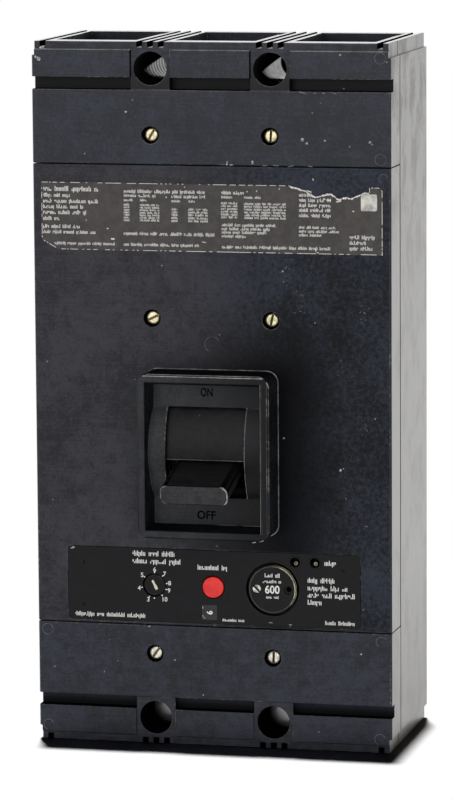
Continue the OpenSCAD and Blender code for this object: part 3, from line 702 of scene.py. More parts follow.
SOLIDS = {
    "base": ("case", "case_phenolic", 0.35, case_black, case_edge),
    "main_cover": ("case", "case_phenolic", 0.35, cover_black, case_edge),
    "line_terminal_cover": ("case", "case_phenolic", 0.35, case_black, case_edge),
    "load_terminal_cover": ("case", "case_phenolic", 0.35, case_black, case_edge),
    "handle_collar": ("case", "case_phenolic", 0.5, collar_black, collar_edge),
    "handle": ("handle", "handle_phenolic", 0.7, handle_black, handle_edge),
    "trip_unit": ("case", "trip_phenolic", 0.2, trip_black, trip_edge),
    "trip_faceplate": ("case", "faceplate", 0.15, plate_film, trip_edge),
    "trip_dial": ("trip_dial", "trip_phenolic", 0.25, trip_black, trip_edge),
    "trip_button": ("trip_button", "red_plastic", 0.6, red_plastic, red_plastic),
    "rating_plug": ("case", "trip_phenolic", 0.3, trip_black, plug_rim_wear_and_highlight),
    "rating_plug_screw": ("case", "screw_metal", 0.2, plug_metal, plug_metal),
    "test_jack_left": ("case", "steel", 0.15, trip_black, trip_black),
    "test_jack_right": ("case", "steel", 0.15, trip_black, trip_black),
}
for end in ("line", "load"):
    for side in ("left", "centre", "right"):
        SOLIDS[f"{end}_terminal_{side}"] = ("case", "copper", 0.4, copper, copper)
for cover in ("line", "main", "load"):
    for side in ("left", "right"):
        head = pale_metal if cover == "load" else screw_metal
        SOLIDS[f"{cover}_cover_screw_{side}"] = ("case", "screw_metal", 0.25, head, head)

soft = {}
for node, (body, slot, edge_mm, finish, edge_finish) in SOLIDS.items():
    copy = soft_copy(node, edge_mm, finish, edge_finish)
    hand_over(copy, node + "_soft", body)
    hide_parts(node)
    soft[node] = copy
print("soft copies:", len(soft), "faces:", sum(len(c.data.polygons) for c in soft.values()))

# %% [markdown]
# Some faces of a piece need another finish than the rest. Splitting the mesh
# would open it, so only the material number of those faces changes. A test on
# the middle of a face, in millimetres, and on its normal picks them. Many of the
# tests are for faces of the bevel only, so a decorator asks that first.

# %% Finishes by place


def repaint(node, *rules):
    """Go through pairs of a finish and a test, and count the faces that get a finish."""
    slots = soft[node].data.materials
    count = 0
    for finish, wanted in rules:
        if finish.name not in slots:
            slots.append(finish)
        found = [face for face in soft[node].data.polygons if wanted(face, face.center / MM)]
        for face in found:
            face.material_index = slots.find(finish.name)
        count += len(found)
    return count


def edge_faces(test):
    """Narrow a test to the faces of the bevel."""

    def wanted(face, middle):
        return face.material_index == EDGE_FACES and test(face, middle)

    return wanted


def from_end(middle):
    return min(middle.z, CASE_TOP - middle.z)


def below_face(middle):
    return middle.y - COVER_FACE / MM


bevelled = sum(face.material_index == EDGE_FACES for piece in soft.values() for face in piece.data.polygons)
print("faces of the bevels:", bevelled)

# %% [markdown]
# On the real case the sides and end faces are glossy. The sunk strips and
# channels are darker: the channels and the lands by the line end's channel with
# painted shade. The grooves, the channels' corners and the screw holes are painted
# black as shade. The pads' upper edges get a painted highlight, their right edges
# painted shade, and the groove floors a pale painted glint. The faces could be
# picked by hand, but a test finds them again when a size changes. The bores come
# first, so that no later test takes their walls.

# %% Finishes of the case
GROOVE_DEEP = 3.2
RIB_HALF = CASE_HALF - 4
SCREW_HEIGHTS = (53.1, 248.4, CASE_TOP - 53.1)
SCREW_HOLE_R, BORE_R = 5.3, 9.7
STRIP_SUNK = (1, 1.4)


def on_side(face, middle):
    return abs(face.normal.x) > 0.9 and abs(middle.x) > CASE_HALF - 2


def on_end(face, middle):
    return abs(face.normal.z) > 0.95 and from_end(middle) < 5


def in_groove(face, middle):
    return abs(face.normal.x) > 0.3 and from_end(middle) < GROOVE_DEEP + 0.2 and abs(middle.x) < RIB_HALF


def on_groove_floor(face, middle):
    sunk = abs(CASE_TOP - middle.z - GROOVE_DEEP) < 0.2
    return face.normal.z > 0.95 and sunk and abs(middle.x) < RIB_HALF


def on_strip(face, middle):
    return face.normal.y < -0.95 and STRIP_SUNK[0] < below_face(middle) < STRIP_SUNK[1]


def in_channel(face, middle):
    across = CHANNEL_LOW - 0.1 < from_end(middle) < CHANNEL_HIGH + 0.1
    return across and 2 < below_face(middle) < CHANNEL_DEEP + 0.1


def in_dark_corner(face, middle):
    return in_groove(face, middle) or in_channel(face, middle) and abs(face.normal.z) > 0.6


def in_screw_hole(face, middle):
    away = min(math.hypot(abs(middle.x) - BORE_X, middle.z - height) for height in SCREW_HEIGHTS)
    return away < SCREW_HOLE_R and 0.6 < below_face(middle) < 6


@edge_faces
def lit_top_edge(face, middle):
    return face.normal.z > 0.2 and face.normal.y < -0.2 and below_face(middle) < 2


@edge_faces
def shaded_edge(face, middle):
    return face.normal.x > 0.3 and abs(middle.x) < RIB_HALF


def in_bore(axis_x, axis_z):
    """A test for the wall of the bore on this axis."""

    def wanted(face, middle):
        return math.hypot(middle.x - axis_x, middle.z - axis_z) < BORE_R and abs(face.normal.y) < 0.5

    return wanted


painted = 0
CHANNELS = {"line_terminal_cover": channel_shade, "load_terminal_cover": load_channel_shade}
for node in ("base", "main_cover", *CHANNELS):
    rules = [(bore, in_bore(x, z)) for x, z, bore in BORES]
    # Groove floors get a pale painted glint.
    rules += [(side_gloss, on_side), (end_gloss, on_end), (groove_floor_painted_glint, on_groove_floor)]
    if node == "line_terminal_cover":
        # On the pads: a painted highlight on the upper edges, painted shade on the right edges.
        rules += [(pad_edge_highlight, lit_top_edge), (dirt_and_shade, shaded_edge)]
    if node in CHANNELS:
        # The channels and the lands near the line channel take painted shade.
        rules += [(strip_black, on_strip), (CHANNELS[node], in_channel)]
    # Grooves, channel corners and screw holes are painted black as shade.
    rules += [(dirt_and_shade, in_dark_corner), (dirt_and_shade, in_screw_hole)]
    painted += repaint(node, *rules)
print("case faces with a finish of their own:", painted)

# %% [markdown]
# The real lever's tip is rubbed grey, and its upper and right edges shine: a
# painted highlight over their wear, as is the pale lip of the drum. The rest of
# the lever lies in the collar's shade, so it is painted black as shade, and so is
# the drum below the pin. Paint on the points could do this, but the faces are
# large, so they are told apart by their reach: the distance from the handle's pin
# parts the lever from the drum.

# %% Finishes of the handle
AXIS_Y, AXIS_Z = COVER_FACE / MM + 30, 173.4
DRUM_REACH = 45.5


def reach(middle):
    return math.hypot(middle.y - AXIS_Y, middle.z - AXIS_Z)


def on_lever_tip(face, middle):
    return face.normal.y < -0.7 and AXIS_Y - middle.y > 60 and face.material_index != EDGE_FACES


def in_handle_shade(face, middle):
    on_lever = reach(middle) > DRUM_REACH and face.material_index != EDGE_FACES
    return on_lever or reach(middle) < DRUM_REACH and middle.z < AXIS_Z - 14


@edge_faces
def on_handle_lip(face, middle):
    return reach(middle) < DRUM_REACH + 0.5 and abs(middle.x) < 22 and middle.z < AXIS_Z


@edge_faces
def lit_tip_edge(face, middle):
    return AXIS_Y - middle.y > 58 and max(face.normal.x, face.normal.z) > 0.2


# Shaded lever and drum are painted black; the lip and the tip's edges get a painted highlight.
handle_rules = ((dirt_and_shade, in_handle_shade), (lever_black, on_lever_tip), (rubbed_edge_and_highlight, on_handle_lip))
print("handle faces:", repaint("handle", *handle_rules, (thin_edge_wear_and_highlight, lit_tip_edge)))

# %% [markdown]
# The collar's outer top edge, its upper right edge and the inner right one are
# pale, worn and with a painted highlight, and so is the right edge of the slot.
# Its other edges are as black as its faces. A mask of worn edges would rub them
# all alike, so each is picked by its place. The walls face the shade, so they get
# a dark finish with no shine: painted shade.

# %% Finishes of the collar
RIM_X, RIM_Z, RIM_MIDDLE = 37.4, 46.2, 171.9
RECESS_FLOOR, FLOOR_FOOT = COVER_FACE - 11.2 * MM, 132.0
SLOT_X, SLOT_Z, WALL_X = 23, 26, 34


def beside_slot(across, middle):
    return abs(across - SLOT_X) < 0.8 and abs(middle.z - AXIS_Z) < SLOT_Z


def on_inner_right(middle):
    return abs(middle.x - WALL_X) < 1


@edge_faces
def lit_collar_edge(face, middle):
    top = middle.z > RIM_MIDDLE + RIM_Z and middle.x > -33
    upper_right = middle.x > RIM_X and middle.z > RIM_MIDDLE + 22
    return top or upper_right or on_inner_right(middle)


@edge_faces
def right_slot_edge(face, middle):
    return beside_slot(middle.x, middle)


@edge_faces
def on_floor_foot(face, middle):
    return abs(middle.x) < 30 and middle.z < FLOOR_FOOT and abs(middle.y - RECESS_FLOOR / MM) < 1


@edge_faces
def plain_collar_edge(face, middle):
    outer = (middle.x > RIM_X or middle.z > RIM_MIDDLE + RIM_Z) and middle.x > -30
    return not (outer or beside_slot(abs(middle.x), middle) or on_inner_right(middle))


def on_collar_wall(face, middle):
    return face.material_index == PLAIN_FACES and abs(face.normal.y) < 0.5


# Lit edges get wear with a painted highlight, the walls painted shade.
collar_rules = ((thin_edge_wear_and_highlight, lit_collar_edge), (rubbed_edge_and_highlight, right_slot_edge), (foot_edge, on_floor_foot),
                (collar_black, plain_collar_edge), (collar_wall, on_collar_wall))
print("collar faces:", repaint("handle_collar", *collar_rules))

# %% [markdown]
# The plug is bright only at its rim, worn there and with a painted highlight at
# its upper right, and dust lies on the cover's edge round the collar. The screws'
# slots are darker, less in the left ones, and each jack shows its metal pin. New
# pieces could lie over them, but the faces are there already, so only their finish
# changes. The handle's hidden pin gets plain metal.

# %% Finishes of the small parts
PLUG_FACE_R = 12.5
COLLAR_SEAT_X, COLLAR_SEAT_Z = 41, (122, 222)
PIN_R, PIN_AREA, PIN_DROP = 1.3, 6, 1


@edge_faces
def inside_plug(face, middle):
    return math.hypot(middle.x - PLUG_X, middle.z - PLUG_Z) < PLUG_FACE_R


@edge_faces
def at_collar_foot(face, middle):
    return abs(middle.x) < COLLAR_SEAT_X and COLLAR_SEAT_Z[0] < middle.z < COLLAR_SEAT_Z[1]


def in_slot(low, high):
    """A test for the slot of the screw that fills this box."""
    axis = (low + high) / 2
    slot_reach, slot_top = (high.x - low.x) / 2 - 0.5, low.y + 0.2

    def wanted(face, middle):
        near = math.hypot(middle.x - axis.x, middle.z - axis.z) < slot_reach
        wall_or_floor = abs(face.normal.y) < 0.3 or middle.y > slot_top + 0.5
        return near and wall_or_floor and slot_top < middle.y < slot_top + 1.5

    return wanted


def on_pin(low, high):
    """A test for the pin in the jack that fills this box."""
    axis = (low + high) / 2

    def wanted(face, middle):
        round_pin = face.area / MM**2 < PIN_AREA and middle.y < low.y + 4
        return round_pin and math.hypot(middle.x - axis.x, middle.z - axis.z + PIN_DROP) < PIN_R

    return wanted


painted = repaint("rating_plug", (trip_edge, inside_plug))
painted += repaint("main_cover", (collar_dust_and_highlight, at_collar_foot))
for node in SOLIDS:
    low, high = (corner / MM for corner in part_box(node))
    if "screw" in node:
        painted += repaint(node, (slot_pale if "left" in node else slot_dark, in_slot(low, high)))
    if "jack" in node:
        painted += repaint(node, (jack_metal, on_pin(low, high)))
nodes["handle_pin"].data.materials.clear()
nodes["handle_pin"].data.materials.append(jack_metal)
print("faces of small parts:", painted)

# %% [markdown]
# ON and OFF are sunk into the collar's floor. Flat dark text would float, so the
# letters are extruded and cut out with a Boolean. It comes after the bevel,
# because a bevel on letters this small would eat them.

# %% Lettering as meshes


def to_front(piece, x, z, face, turn=0.0):
    """Stand a flat piece up on a front face, at x, z in millimetres, with its place in its mesh."""
    piece.rotation_euler = (math.radians(90), math.radians(turn), 0)
    piece.location = (x * MM, face, z * MM)
    return place_into_mesh(piece)


def lettering(words, x, z, height_mm, face, thick_mm, width_mm=None, bold=0.0, turn=0.0):
    """A word or number as a mesh on a front-facing plane, centred at x, z in millimetres."""
    bpy.ops.object.text_add()
    letters = bpy.context.object
    letters.data.body = words
    letters.data.align_x = "CENTER"
    letters.data.align_y = "CENTER"
    letters.data.resolution_u = 3
    letters.data.offset = bold
    letters.data.extrude = 0.1
    only(letters)
    bpy.ops.object.convert(target="MESH")
    letters = bpy.context.object
    size = letters.dimensions.copy()
    corners = [Vector(c) for c in letters.bound_box]
    middle = sum(corners, Vector()) / len(corners)
    letters.data.transform(Matrix.Translation(-middle))
    wide = (width_mm or size.x / size.y * height_mm) * MM
    letters.scale = (wide / size.x, height_mm * MM / size.y, thick_mm * MM / size.z)
    to_front(letters, x, z, face, turn)
    in_edit(letters, (bpy.ops.mesh.remove_doubles, {"threshold": 1e-7}))
    return letters


LETTER_DEPTH = 0.5
for words, x, z, wide in (("ON", -0.3, 208.1, 7.2), ("OFF", -0.9, 137.2, 11.0)):
    letters = lettering(words, x, z, 5.1, RECESS_FLOOR, 2 * LETTER_DEPTH, wide, bold=0.025)
    letters.data.materials.append(dirt_and_shade)
    carve(soft["handle_collar"], letters)
print("collar faces with sunk letters:", len(soft["handle_collar"].data.polygons))

# %% [markdown]
# Shading comes last, after every cut. Smooth by Angle keeps the flat faces
# apart, and Weighted Normal lets the large faces rule their rounded edges, so
# the bevels catch the light and the flats stay flat.

# %% Smooth shading
for piece in soft.values():
    only(piece)
    bpy.ops.object.shade_smooth_by_angle(angle=math.radians(40))
    add_modifier(piece, "WEIGHTED_NORMAL", keep_sharp=True)
print("shaded pieces:", len(soft))

# %% [markdown]
# Print on the plate and the label is stood for by rows of small upright dashes,
# grouped like words, that no one can read. One dash is a thin block; an Array
# repeats it along the row, the dashes get uneven feet and heads, and the gaps
# between words are deleted.

# %% Rows of unreadable print
INK_THICK = 0.05
DASH_PITCH = 0.29
WORD_GAP = 2
LOW_HEAD = 0.72
ODD_SPANS = [(-0.24, LOW_HEAD), (0, 0.3), (0.4, LOW_HEAD), (0.28, LOW_HEAD), (0.02, 0.45)]
DASH_SPANS = [(0, LOW_HEAD)] * 8 + [(0, 1)] * 4 + ODD_SPANS


def delete_points(piece, doomed):
    """Delete the points of a mesh whose place passes a test."""
    in_edit(piece, (bpy.ops.mesh.select_all, {"action": "DESELECT"}))
    for point in piece.data.vertices:
        point.select = doomed(point.co)
    bpy.ops.object.mode_set(mode="EDIT")
    bpy.ops.mesh.delete(type="VERT")
    bpy.ops.object.mode_set(mode="OBJECT")


def dash_row(x0, x1, z, height, face, pitch=None, fill=0.58, words=True):
    """One row of print from x0 to x1, standing on z, all in millimetres."""
    draw = random.Random(f"{x0} {z}")
    pitch = pitch or DASH_PITCH * height
    count = max(1, round((x1 - x0) / pitch))
    middle = z + height * LOW_HEAD / 2
    row = block((x0 + pitch / 2, face / MM, middle), (pitch * fill, INK_THICK, height * LOW_HEAD))
    step = {"count": count, "use_relative_offset": False, "use_constant_offset": True}
    add_modifier(row, "ARRAY", **step, constant_offset_displace=(pitch * MM, 0, 0))
    gaps, start = set(), 0
    while words and start < count:
        end = start + draw.randint(6, 16)
        if end < count - 4:
            gaps.update(range(end, end + WORD_GAP))
        start = end + WORD_GAP
    spans = [draw.choice(DASH_SPANS) if words else (0, LOW_HEAD) for _ in range(count)]

    def dash_of(co):
        return int((co.x / MM - x0) / pitch)

    for point in row.data.vertices:
        foot, head = spans[min(dash_of(point.co), count - 1)]
        point.co.z = (z + height * (head if point.co.z > middle * MM else foot)) * MM
    delete_points(row, lambda co: dash_of(co) in gaps)
    return row


print("kinds of dash:", len(set(DASH_SPANS)))

# %% [markdown]
# The faceplate carries a two-line heading over the dial, a line over the button,
# a word by the test jacks, a four-line note beside the plug, and small lines
# along its foot. Their places and lengths follow the real plate. A picture could
# hold them all, but then the file would not stand alone, so they are meshes.

# %% Print on the faceplate
PLATE_ROWS = (
    (-47.9, -22.8, 110.2, 3.0), (-47.9, -19.4, 105.8, 3.0), (-9.3, 8.5, 103.3, 2.9),
    (65.4, 72.0, 108.2, 3.0),
    (55.5, 71.7, 98.0, 2.9), (55.5, 78.9, 93.6, 2.9), (55.5, 82.9, 89.4, 2.9), (55.5, 64.2, 85.2, 2.9),
    (-82.5, -40.7, 73.9, 2.5), (5.3, 18.2, 73.6, 1.8), (65.8, 83.4, 73.8, 2.4),
)
PLUG_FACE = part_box("rating_plug")[0].y
PLUG_ROWS = ((30.4, 39.3, 100.3, 2.4), (29.2, 40.4, 97.0, 1.9), (31.3, 38.7, 88.0, 1.7))
print_rows = [dash_row(*row, PLATE_FACE) for row in PLATE_ROWS]
print_rows += [dash_row(*row, PLUG_FACE) for row in PLUG_ROWS]
plug_number = lettering("600", PLUG_X, PLUG_Z, 4.9, PLUG_FACE, 2 * INK_THICK, 8.6, bold=0.02)
plate_print = hand_over(joined([plug_number] + print_rows), "faceplate_print", "case", white_ink)
print("faceplate print, faces:", len(plate_print.data.polygons))

# %% [markdown]
# The dial's numbers stand round it unevenly, as on the real one, each with a
# tick. Numbers are text made into mesh; a tick is a narrow block turned to point
# at the dial's middle, and a dot marks its foot.

# %% Dial numbers and ticks
DIAL_X, DIAL_Z = -35.0, 93.3
DIAL_NUMBERS = ((3, -157), (4, -102), (5, -51.5), (6, 2), (7, 42.5), (8, 81), (9, 108), (10, 142))
NUMBER_HIGH, NUMBER_RADIUS, WIDE_NUMBER_RADIUS = 2.6, 9.2, 10.3
TICK_SIZE, TICK_RADIUS = (0.5, INK_THICK, 1.1), 7.5
DOT_SIZE, DOT_RADIUS = 0.4, 7.6


def round_dial(radius, clock):
    """The place at this radius and this angle, as on a clock, round the dial's middle."""
    angle = math.radians(clock)
    return DIAL_X + radius * math.sin(angle), DIAL_Z + radius * math.cos(angle)


dial_marks = []
for number, clock in DIAL_NUMBERS:
    x, z = round_dial(NUMBER_RADIUS if number < 10 else WIDE_NUMBER_RADIUS, clock)
    dial_marks.append(lettering(str(number), x, z, NUMBER_HIGH, PLATE_FACE, 2 * INK_THICK, bold=0.01))
    x, z = round_dial(TICK_RADIUS, clock)
    dial_marks.append(block((x, PLATE_FACE / MM, z), TICK_SIZE, clock))
bpy.ops.mesh.primitive_cylinder_add(vertices=10, radius=DOT_SIZE * MM, depth=2 * INK_THICK * MM)
dial_marks.append(to_front(bpy.context.object, DIAL_X, DIAL_Z - DOT_RADIUS, PLATE_FACE))
hand_over(joined(dial_marks), "dial_numbers", "case", white_ink)
print("dial marks:", len(dial_marks))

# %% [markdown]
# The pointer is a painted groove in the dial, thin at the tip and round at its
# tail. A grid strip is widened point by point, given thickness, and turned to
# where the dial stands. It replaces the plain bar of the solids.

# %% Dial pointer
POINTER_ANGLE = -28
POINTER_WIDTHS = (0.35, 0.7, 0.66, 0.56, 0.6, 0.9, 1.2, 1.15, 0.7)
POINTER_LONG, POINTER_THICK = 6.0, 0.3
pointer_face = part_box("dial_pointer")[0].y


def thicken(piece, thick_mm, offset):
    """Give a flat piece its thickness: outwards at 1, inwards at -1, half each way at 0."""
    add_modifier(piece, "SOLIDIFY", thickness=thick_mm * MM, offset=offset)


bpy.ops.mesh.primitive_grid_add(x_subdivisions=1, y_subdivisions=len(POINTER_WIDTHS) - 1, size=1)
pointer = bpy.context.object
for point in pointer.data.vertices:
    step = round((0.5 - point.co.y) * (len(POINTER_WIDTHS) - 1))
    point.co.x = math.copysign(POINTER_WIDTHS[step], point.co.x) * MM
    point.co.y *= POINTER_LONG * MM
thicken(pointer, POINTER_THICK, -1)
to_front(pointer, DIAL_X, DIAL_Z, pointer_face, POINTER_ANGLE)
hand_over(pointer, "dial_pointer_paint", "trip_dial", cream_paint)
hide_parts("dial_pointer")
print("pointer faces:", len(pointer.data.polygons))

# %% [markdown]
# The rating label is a thin brown-grey film, torn along its upper right edge,
# with one corner cut. It starts as a plane; its upper edge is subdivided and the
# new points are moved onto the line of the tear, then it gets its thickness.

# %% Rating label with a torn edge
LABEL_THICK = 0.15
LABEL_LEFT, LABEL_RIGHT, LABEL_FOOT, LABEL_TOP = -99.8, 100.0, 287.0, 326.0
RIGHT_CORNER_DROP = 2.6
CORNER_CUT = ((-99.8, 292.7), (-90.3, 287.0))
NEAR = 0.1
TEAR = (
    (46.4, 325.3), (49.0, 324.7), (51.7, 324.0), (55.7, 322.6), (59.2, 320.5), (61.5, 319.4), (63.7, 319.9),
    (65.5, 320.6), (68.1, 321.3), (70.7, 321.2), (72.1, 320.3), (73.4, 318.8), (75.2, 318.4), (77.4, 319.3),
    (79.6, 319.5), (81.3, 318.9), (83.1, 319.4), (85.3, 320.3), (87.5, 321.4), (89.7, 322.3), (91.9, 322.1),
    (92.1, 325.1), (92.8, 325.4), (98.1, 325.4),
)


def flat_card(x0, x1, z0, z1, face):
    """A front-facing rectangle, with its place in its mesh."""
    bpy.ops.mesh.primitive_plane_add(size=1)
    card = bpy.context.object
    card.scale = ((x1 - x0) * MM, (z1 - z0) * MM, 1)
    return to_front(card, (x0 + x1) / 2, (z0 + z1) / 2, face)


def split_edge(card, wanted, cuts):
    """Subdivide the one edge whose points all pass a test, and return its points from left to right."""
    picks = ((bpy.ops.mesh.select_mode, {"type": "EDGE"}), (bpy.ops.mesh.select_all, {"action": "DESELECT"}))
    in_edit(card, *picks)
    for edge in card.data.edges:
        edge.select = all(wanted(card.data.vertices[v].co) for v in edge.vertices)
    bpy.ops.object.mode_set(mode="EDIT")
    bpy.ops.mesh.subdivide(number_cuts=cuts)
    bpy.ops.object.mode_set(mode="OBJECT")
    return sorted((p for p in card.data.vertices if wanted(p.co)), key=lambda p: p.co.x)


def move_points(points, places):
    for point, (x, z) in zip(points, places):
        point.co.x, point.co.z = x * MM, z * MM


label = flat_card(LABEL_LEFT, LABEL_RIGHT, LABEL_FOOT, LABEL_TOP, COVER_FACE)
edge_points = split_edge(label, lambda co: co.z > (LABEL_TOP - NEAR) * MM, len(TEAR))[1:]
move_points(edge_points, TEAR)
edge_points[-1].co.z = (LABEL_TOP - RIGHT_CORNER_DROP) * MM
foot_points = split_edge(label, lambda co: co.z < (LABEL_FOOT + NEAR) * MM, 1)
move_points(foot_points, CORNER_CUT)
thicken(label, LABEL_THICK, 1)
hand_over(label, "rating_label", "case", label_film)
label_front = COVER_FACE - LABEL_THICK * MM
print("label points:", len(label.data.vertices), "box:", [round(v / MM, 1) for v in label.dimensions])

# %% [markdown]
# Where the film tore, the paper backing shows as a ragged white line. A strip of
# grid follows the tear, with its lower points moved at random, so the white is
# wide in some places and almost gone in others.

# %% Torn paper
PAPER_POINTS, PAPER_STEPS, PAPER_THICK = 21, 4, 0.12
PAPER_RISE, PAPER_FALL = (0, 0.4), (0.2, 1.1)
draw = random.Random(11)
columns = (PAPER_POINTS - 1) * PAPER_STEPS
bpy.ops.mesh.primitive_grid_add(x_subdivisions=columns, y_subdivisions=1, size=1)
strip = bpy.context.object
for point in strip.data.vertices:
    column = round((point.co.x + 0.5) * columns)
    first = min(column // PAPER_STEPS, PAPER_POINTS - 2)
    part = column / PAPER_STEPS - first
    x, z = (a * (1 - part) + b * part for a, b in zip(TEAR[first], TEAR[first + 1]))
    upper = point.co.y > 0
    z += draw.uniform(*PAPER_RISE) if upper else -draw.uniform(*PAPER_FALL)
    point.co = (x * MM, label_front, z * MM)
thicken(strip, PAPER_THICK, 0)
in_edit(strip, (bpy.ops.mesh.normals_make_consistent, {"inside": False}))
hand_over(strip, "torn_paper_edge", "case", paper)
print("torn paper, faces:", len(strip.data.polygons))

# %% [markdown]
# The label's own print: a heading block at the left, two small tables in the
# middle, another beside them, notes, and a block at the right. A table is a
# stack of rows, so only its corners and its number of lines are written down.

# %% Print on the label
LABEL_ROWS = [
    (-98.7, -65.9, 320.6, 2.9), (-98.8, -82.6, 317.2, 2.2), (-98.8, -66.4, 313.8, 2.3),
    (-98.9, -74.8, 310.6, 2.3), (-98.9, -73.4, 307.3, 2.4), (-99.0, -89.0, 303.8, 2.3),
    (-99.0, -77.1, 299.3, 2.1), (-99.1, -67.8, 296.2, 2.0), (-92.5, -56.3, 289.9, 1.7),
    (-50.9, -3.2, 320.2, 2.0), (-50.9, -32.3, 317.8, 1.8), (-22.9, -3.3, 317.6, 1.9),
    (-50.9, -45.8, 315.4, 1.5), (-41.4, -37.5, 315.4, 1.5), (-22.9, -17.8, 315.2, 1.5),
    (-13.1, -9.2, 315.2, 1.5),
    (-51.1, 2.5, 296.0, 2.0), (-51.2, -6.6, 289.8, 1.8),
    (6.3, 19.8, 320.2, 2.0), (6.3, 12.8, 317.9, 1.6), (19.6, 29.2, 317.9, 1.6),
    (6.6, 38.1, 302.0, 1.7), (6.5, 34.8, 299.8, 1.7), (6.5, 32.7, 297.8, 1.7), (6.5, 20.9, 295.6, 1.7),
    (6.5, 69.7, 289.4, 1.8),
    (51.6, 59.5, 319.6, 1.8), (51.6, 70.3, 316.7, 2.0), (51.6, 70.2, 313.8, 2.0), (51.6, 70.2, 311.0, 2.0),
    (51.5, 70.2, 308.0, 2.0),
    (51.5, 73.0, 301.4, 1.6), (51.5, 74.7, 299.2, 1.6), (51.5, 64.5, 297.0, 1.6),
    (80.7, 95.5, 296.0, 2.2), (80.7, 90.4, 292.8, 2.2), (80.7, 94.2, 289.6, 2.2),
]
TABLES = ((-51.0, -47.5, 304.0, 314.4, 7), (-41.6, -30.0, 304.0, 314.2, 7), (-23.0, -19.4, 304.0, 312.2, 5),
          (-13.1, -1.7, 304.0, 312.3, 5), (6.2, 15.7, 306.6, 316.2, 6), (19.6, 43.8, 306.4, 316.0, 6))
TABLE_FILL = 0.86
for x0, x1, low, high, lines in TABLES:
    gap = (high - low) / lines
    LABEL_ROWS += [(x0, x1, low + gap * line, gap * TABLE_FILL) for line in range(lines)]
label_rows = [dash_row(*row, label_front) for row in LABEL_ROWS]
label_print = hand_over(joined(label_rows), "label_print", "case", grey_ink)
print("label rows:", len(LABEL_ROWS), "faces:", len(label_print.data.polygons))

# %% [markdown]
# A light border runs round the label, worn away in places. A curve would draw it
# unbroken, so it is made like the print, as rows of dashes that touch, and a few
# dashes of each row are deleted before the row is turned into its place.

# %% Border of the label
BORDER = 0.3
BORDER_STEP, BORDER_OVERLAP = 0.9, 0.02
WORN_OFF = 0.22
border_runs = (
    ((-99.4, 325.6), (46.5, 325.6)), ((-90.0, 287.3), (99.8, 287.3)),
    ((-99.5, 292.9), (-99.5, 325.4)), ((99.6, 287.4), (99.6, 323.4)), ((-99.3, 292.5), (-90.2, 287.4)),
    ((92.4, 322.4), (92.4, 325.0)), ((92.6, 325.1), (97.8, 325.1)), ((97.8, 325.1), (99.6, 323.4)),
)
border_parts = []
for (x0, z0), (x1, z1) in border_runs:
    long = math.hypot(x1 - x0, z1 - z0)
    touch = {"pitch": BORDER_STEP, "fill": 1 + 2 * BORDER_OVERLAP, "words": False}
    run = dash_row(0, long, -BORDER / 2, BORDER / LOW_HEAD, 0, **touch)
    draw = random.Random(f"{x0} {z1}")
    missing = {i for i in range(round(long / BORDER_STEP)) if draw.random() < WORN_OFF}
    delete_points(run, lambda co: int(co.x / MM / BORDER_STEP + BORDER_OVERLAP) in missing)
    run.rotation_euler = (0, -math.atan2(z1 - z0, x1 - x0), 0)
    run.location = (x0 * MM, label_front, z0 * MM)
    border_parts.append(place_into_mesh(run))
border = hand_over(joined(border_parts), "label_border", "case", grey_ink)
print("border faces:", len(border.data.polygons))

# %% [markdown]
# Two stickers: a silver square on the label and a grey square under the trip
# button with a plain number lying on its side. Each is a card with its corners
# rounded by a vertex bevel and the film's thickness.

# %% Stickers
STICKER_THICK = 0.1


def sticker(x0, x1, z0, z1, face, corner_mm):
    card = flat_card(x0, x1, z0, z1, face)
    round_corners = {"offset": corner_mm * MM, "segments": 3, "affect": "VERTICES"}
    in_edit(card, (bpy.ops.mesh.bevel, round_corners))
    thicken(card, STICKER_THICK, 1)
    return card


silver = sticker(87.4, 96.7, 312.0, 321.5, label_front, 0.9)
hand_over(silver, "silver_sticker", "case", foil)
grey = sticker(-6.6, 2.2, 74.2, 82.8, PLATE_FACE, 0.4)
hand_over(grey, "grey_sticker", "case", sticker_film)
sticker_face = PLATE_FACE - STICKER_THICK * MM
number = lettering("6", -2.2, 78.4, 3.6, sticker_face, 2 * INK_THICK, bold=0.03, turn=-90)
hand_over(number, "sticker_number", "case", white_ink)
print("stickers:", silver.name, "and", grey.name)

# %% [markdown]
# The covers carry the rings that ejector pins leave in a mould. A torus flattened
# almost to nothing gives the raised line, and its pale finish is a painted
# highlight along it; tilting it by a degree or two sinks one side of it into the
# cover, as on the real rings that fade on one side.

# %% Ejector rings
RINGS = (
    (98.6, 398.1, 3.2, 0), (98.7, 341.0, 3.2, 1), (100.4, 330.3, 2.6, 3), (98.6, 65.0, 3.0, 3),
    (97.6, 8.3, 3.0, 2), (-99.2, 65.1, 3.2, 1), (-99.3, 8.6, 3.0, 2), (0.5, 234.1, 4.4, 3),
)
RING_LINE = {"minor_radius": 0.16 * MM, "major_segments": 36, "minor_segments": 6}
rings = []
for x, z, radius, tilt in RINGS:
    bpy.ops.mesh.primitive_torus_add(major_radius=radius * MM, **RING_LINE)
    ring = bpy.context.object
    ring.scale = (1, 1, 0.6)
    ring.rotation_euler = (math.radians(90 + tilt), 0, math.radians(tilt))
    ring.location = (x * MM, COVER_FACE, z * MM)
    rings.append(place_into_mesh(ring))
hand_over(joined(rings), "ejector_rings", "case", ring_painted_highlight)
print("ejector rings:", len(RINGS))

# %% [markdown]
# Dust has settled in the corner where the collar stands on the cover. It is
# drawn as a thin light line along the top and the right only, dust with a
# painted highlight. A plane gets rounded corners, Inset turns it into a frame,
# and its left and lower parts are deleted.

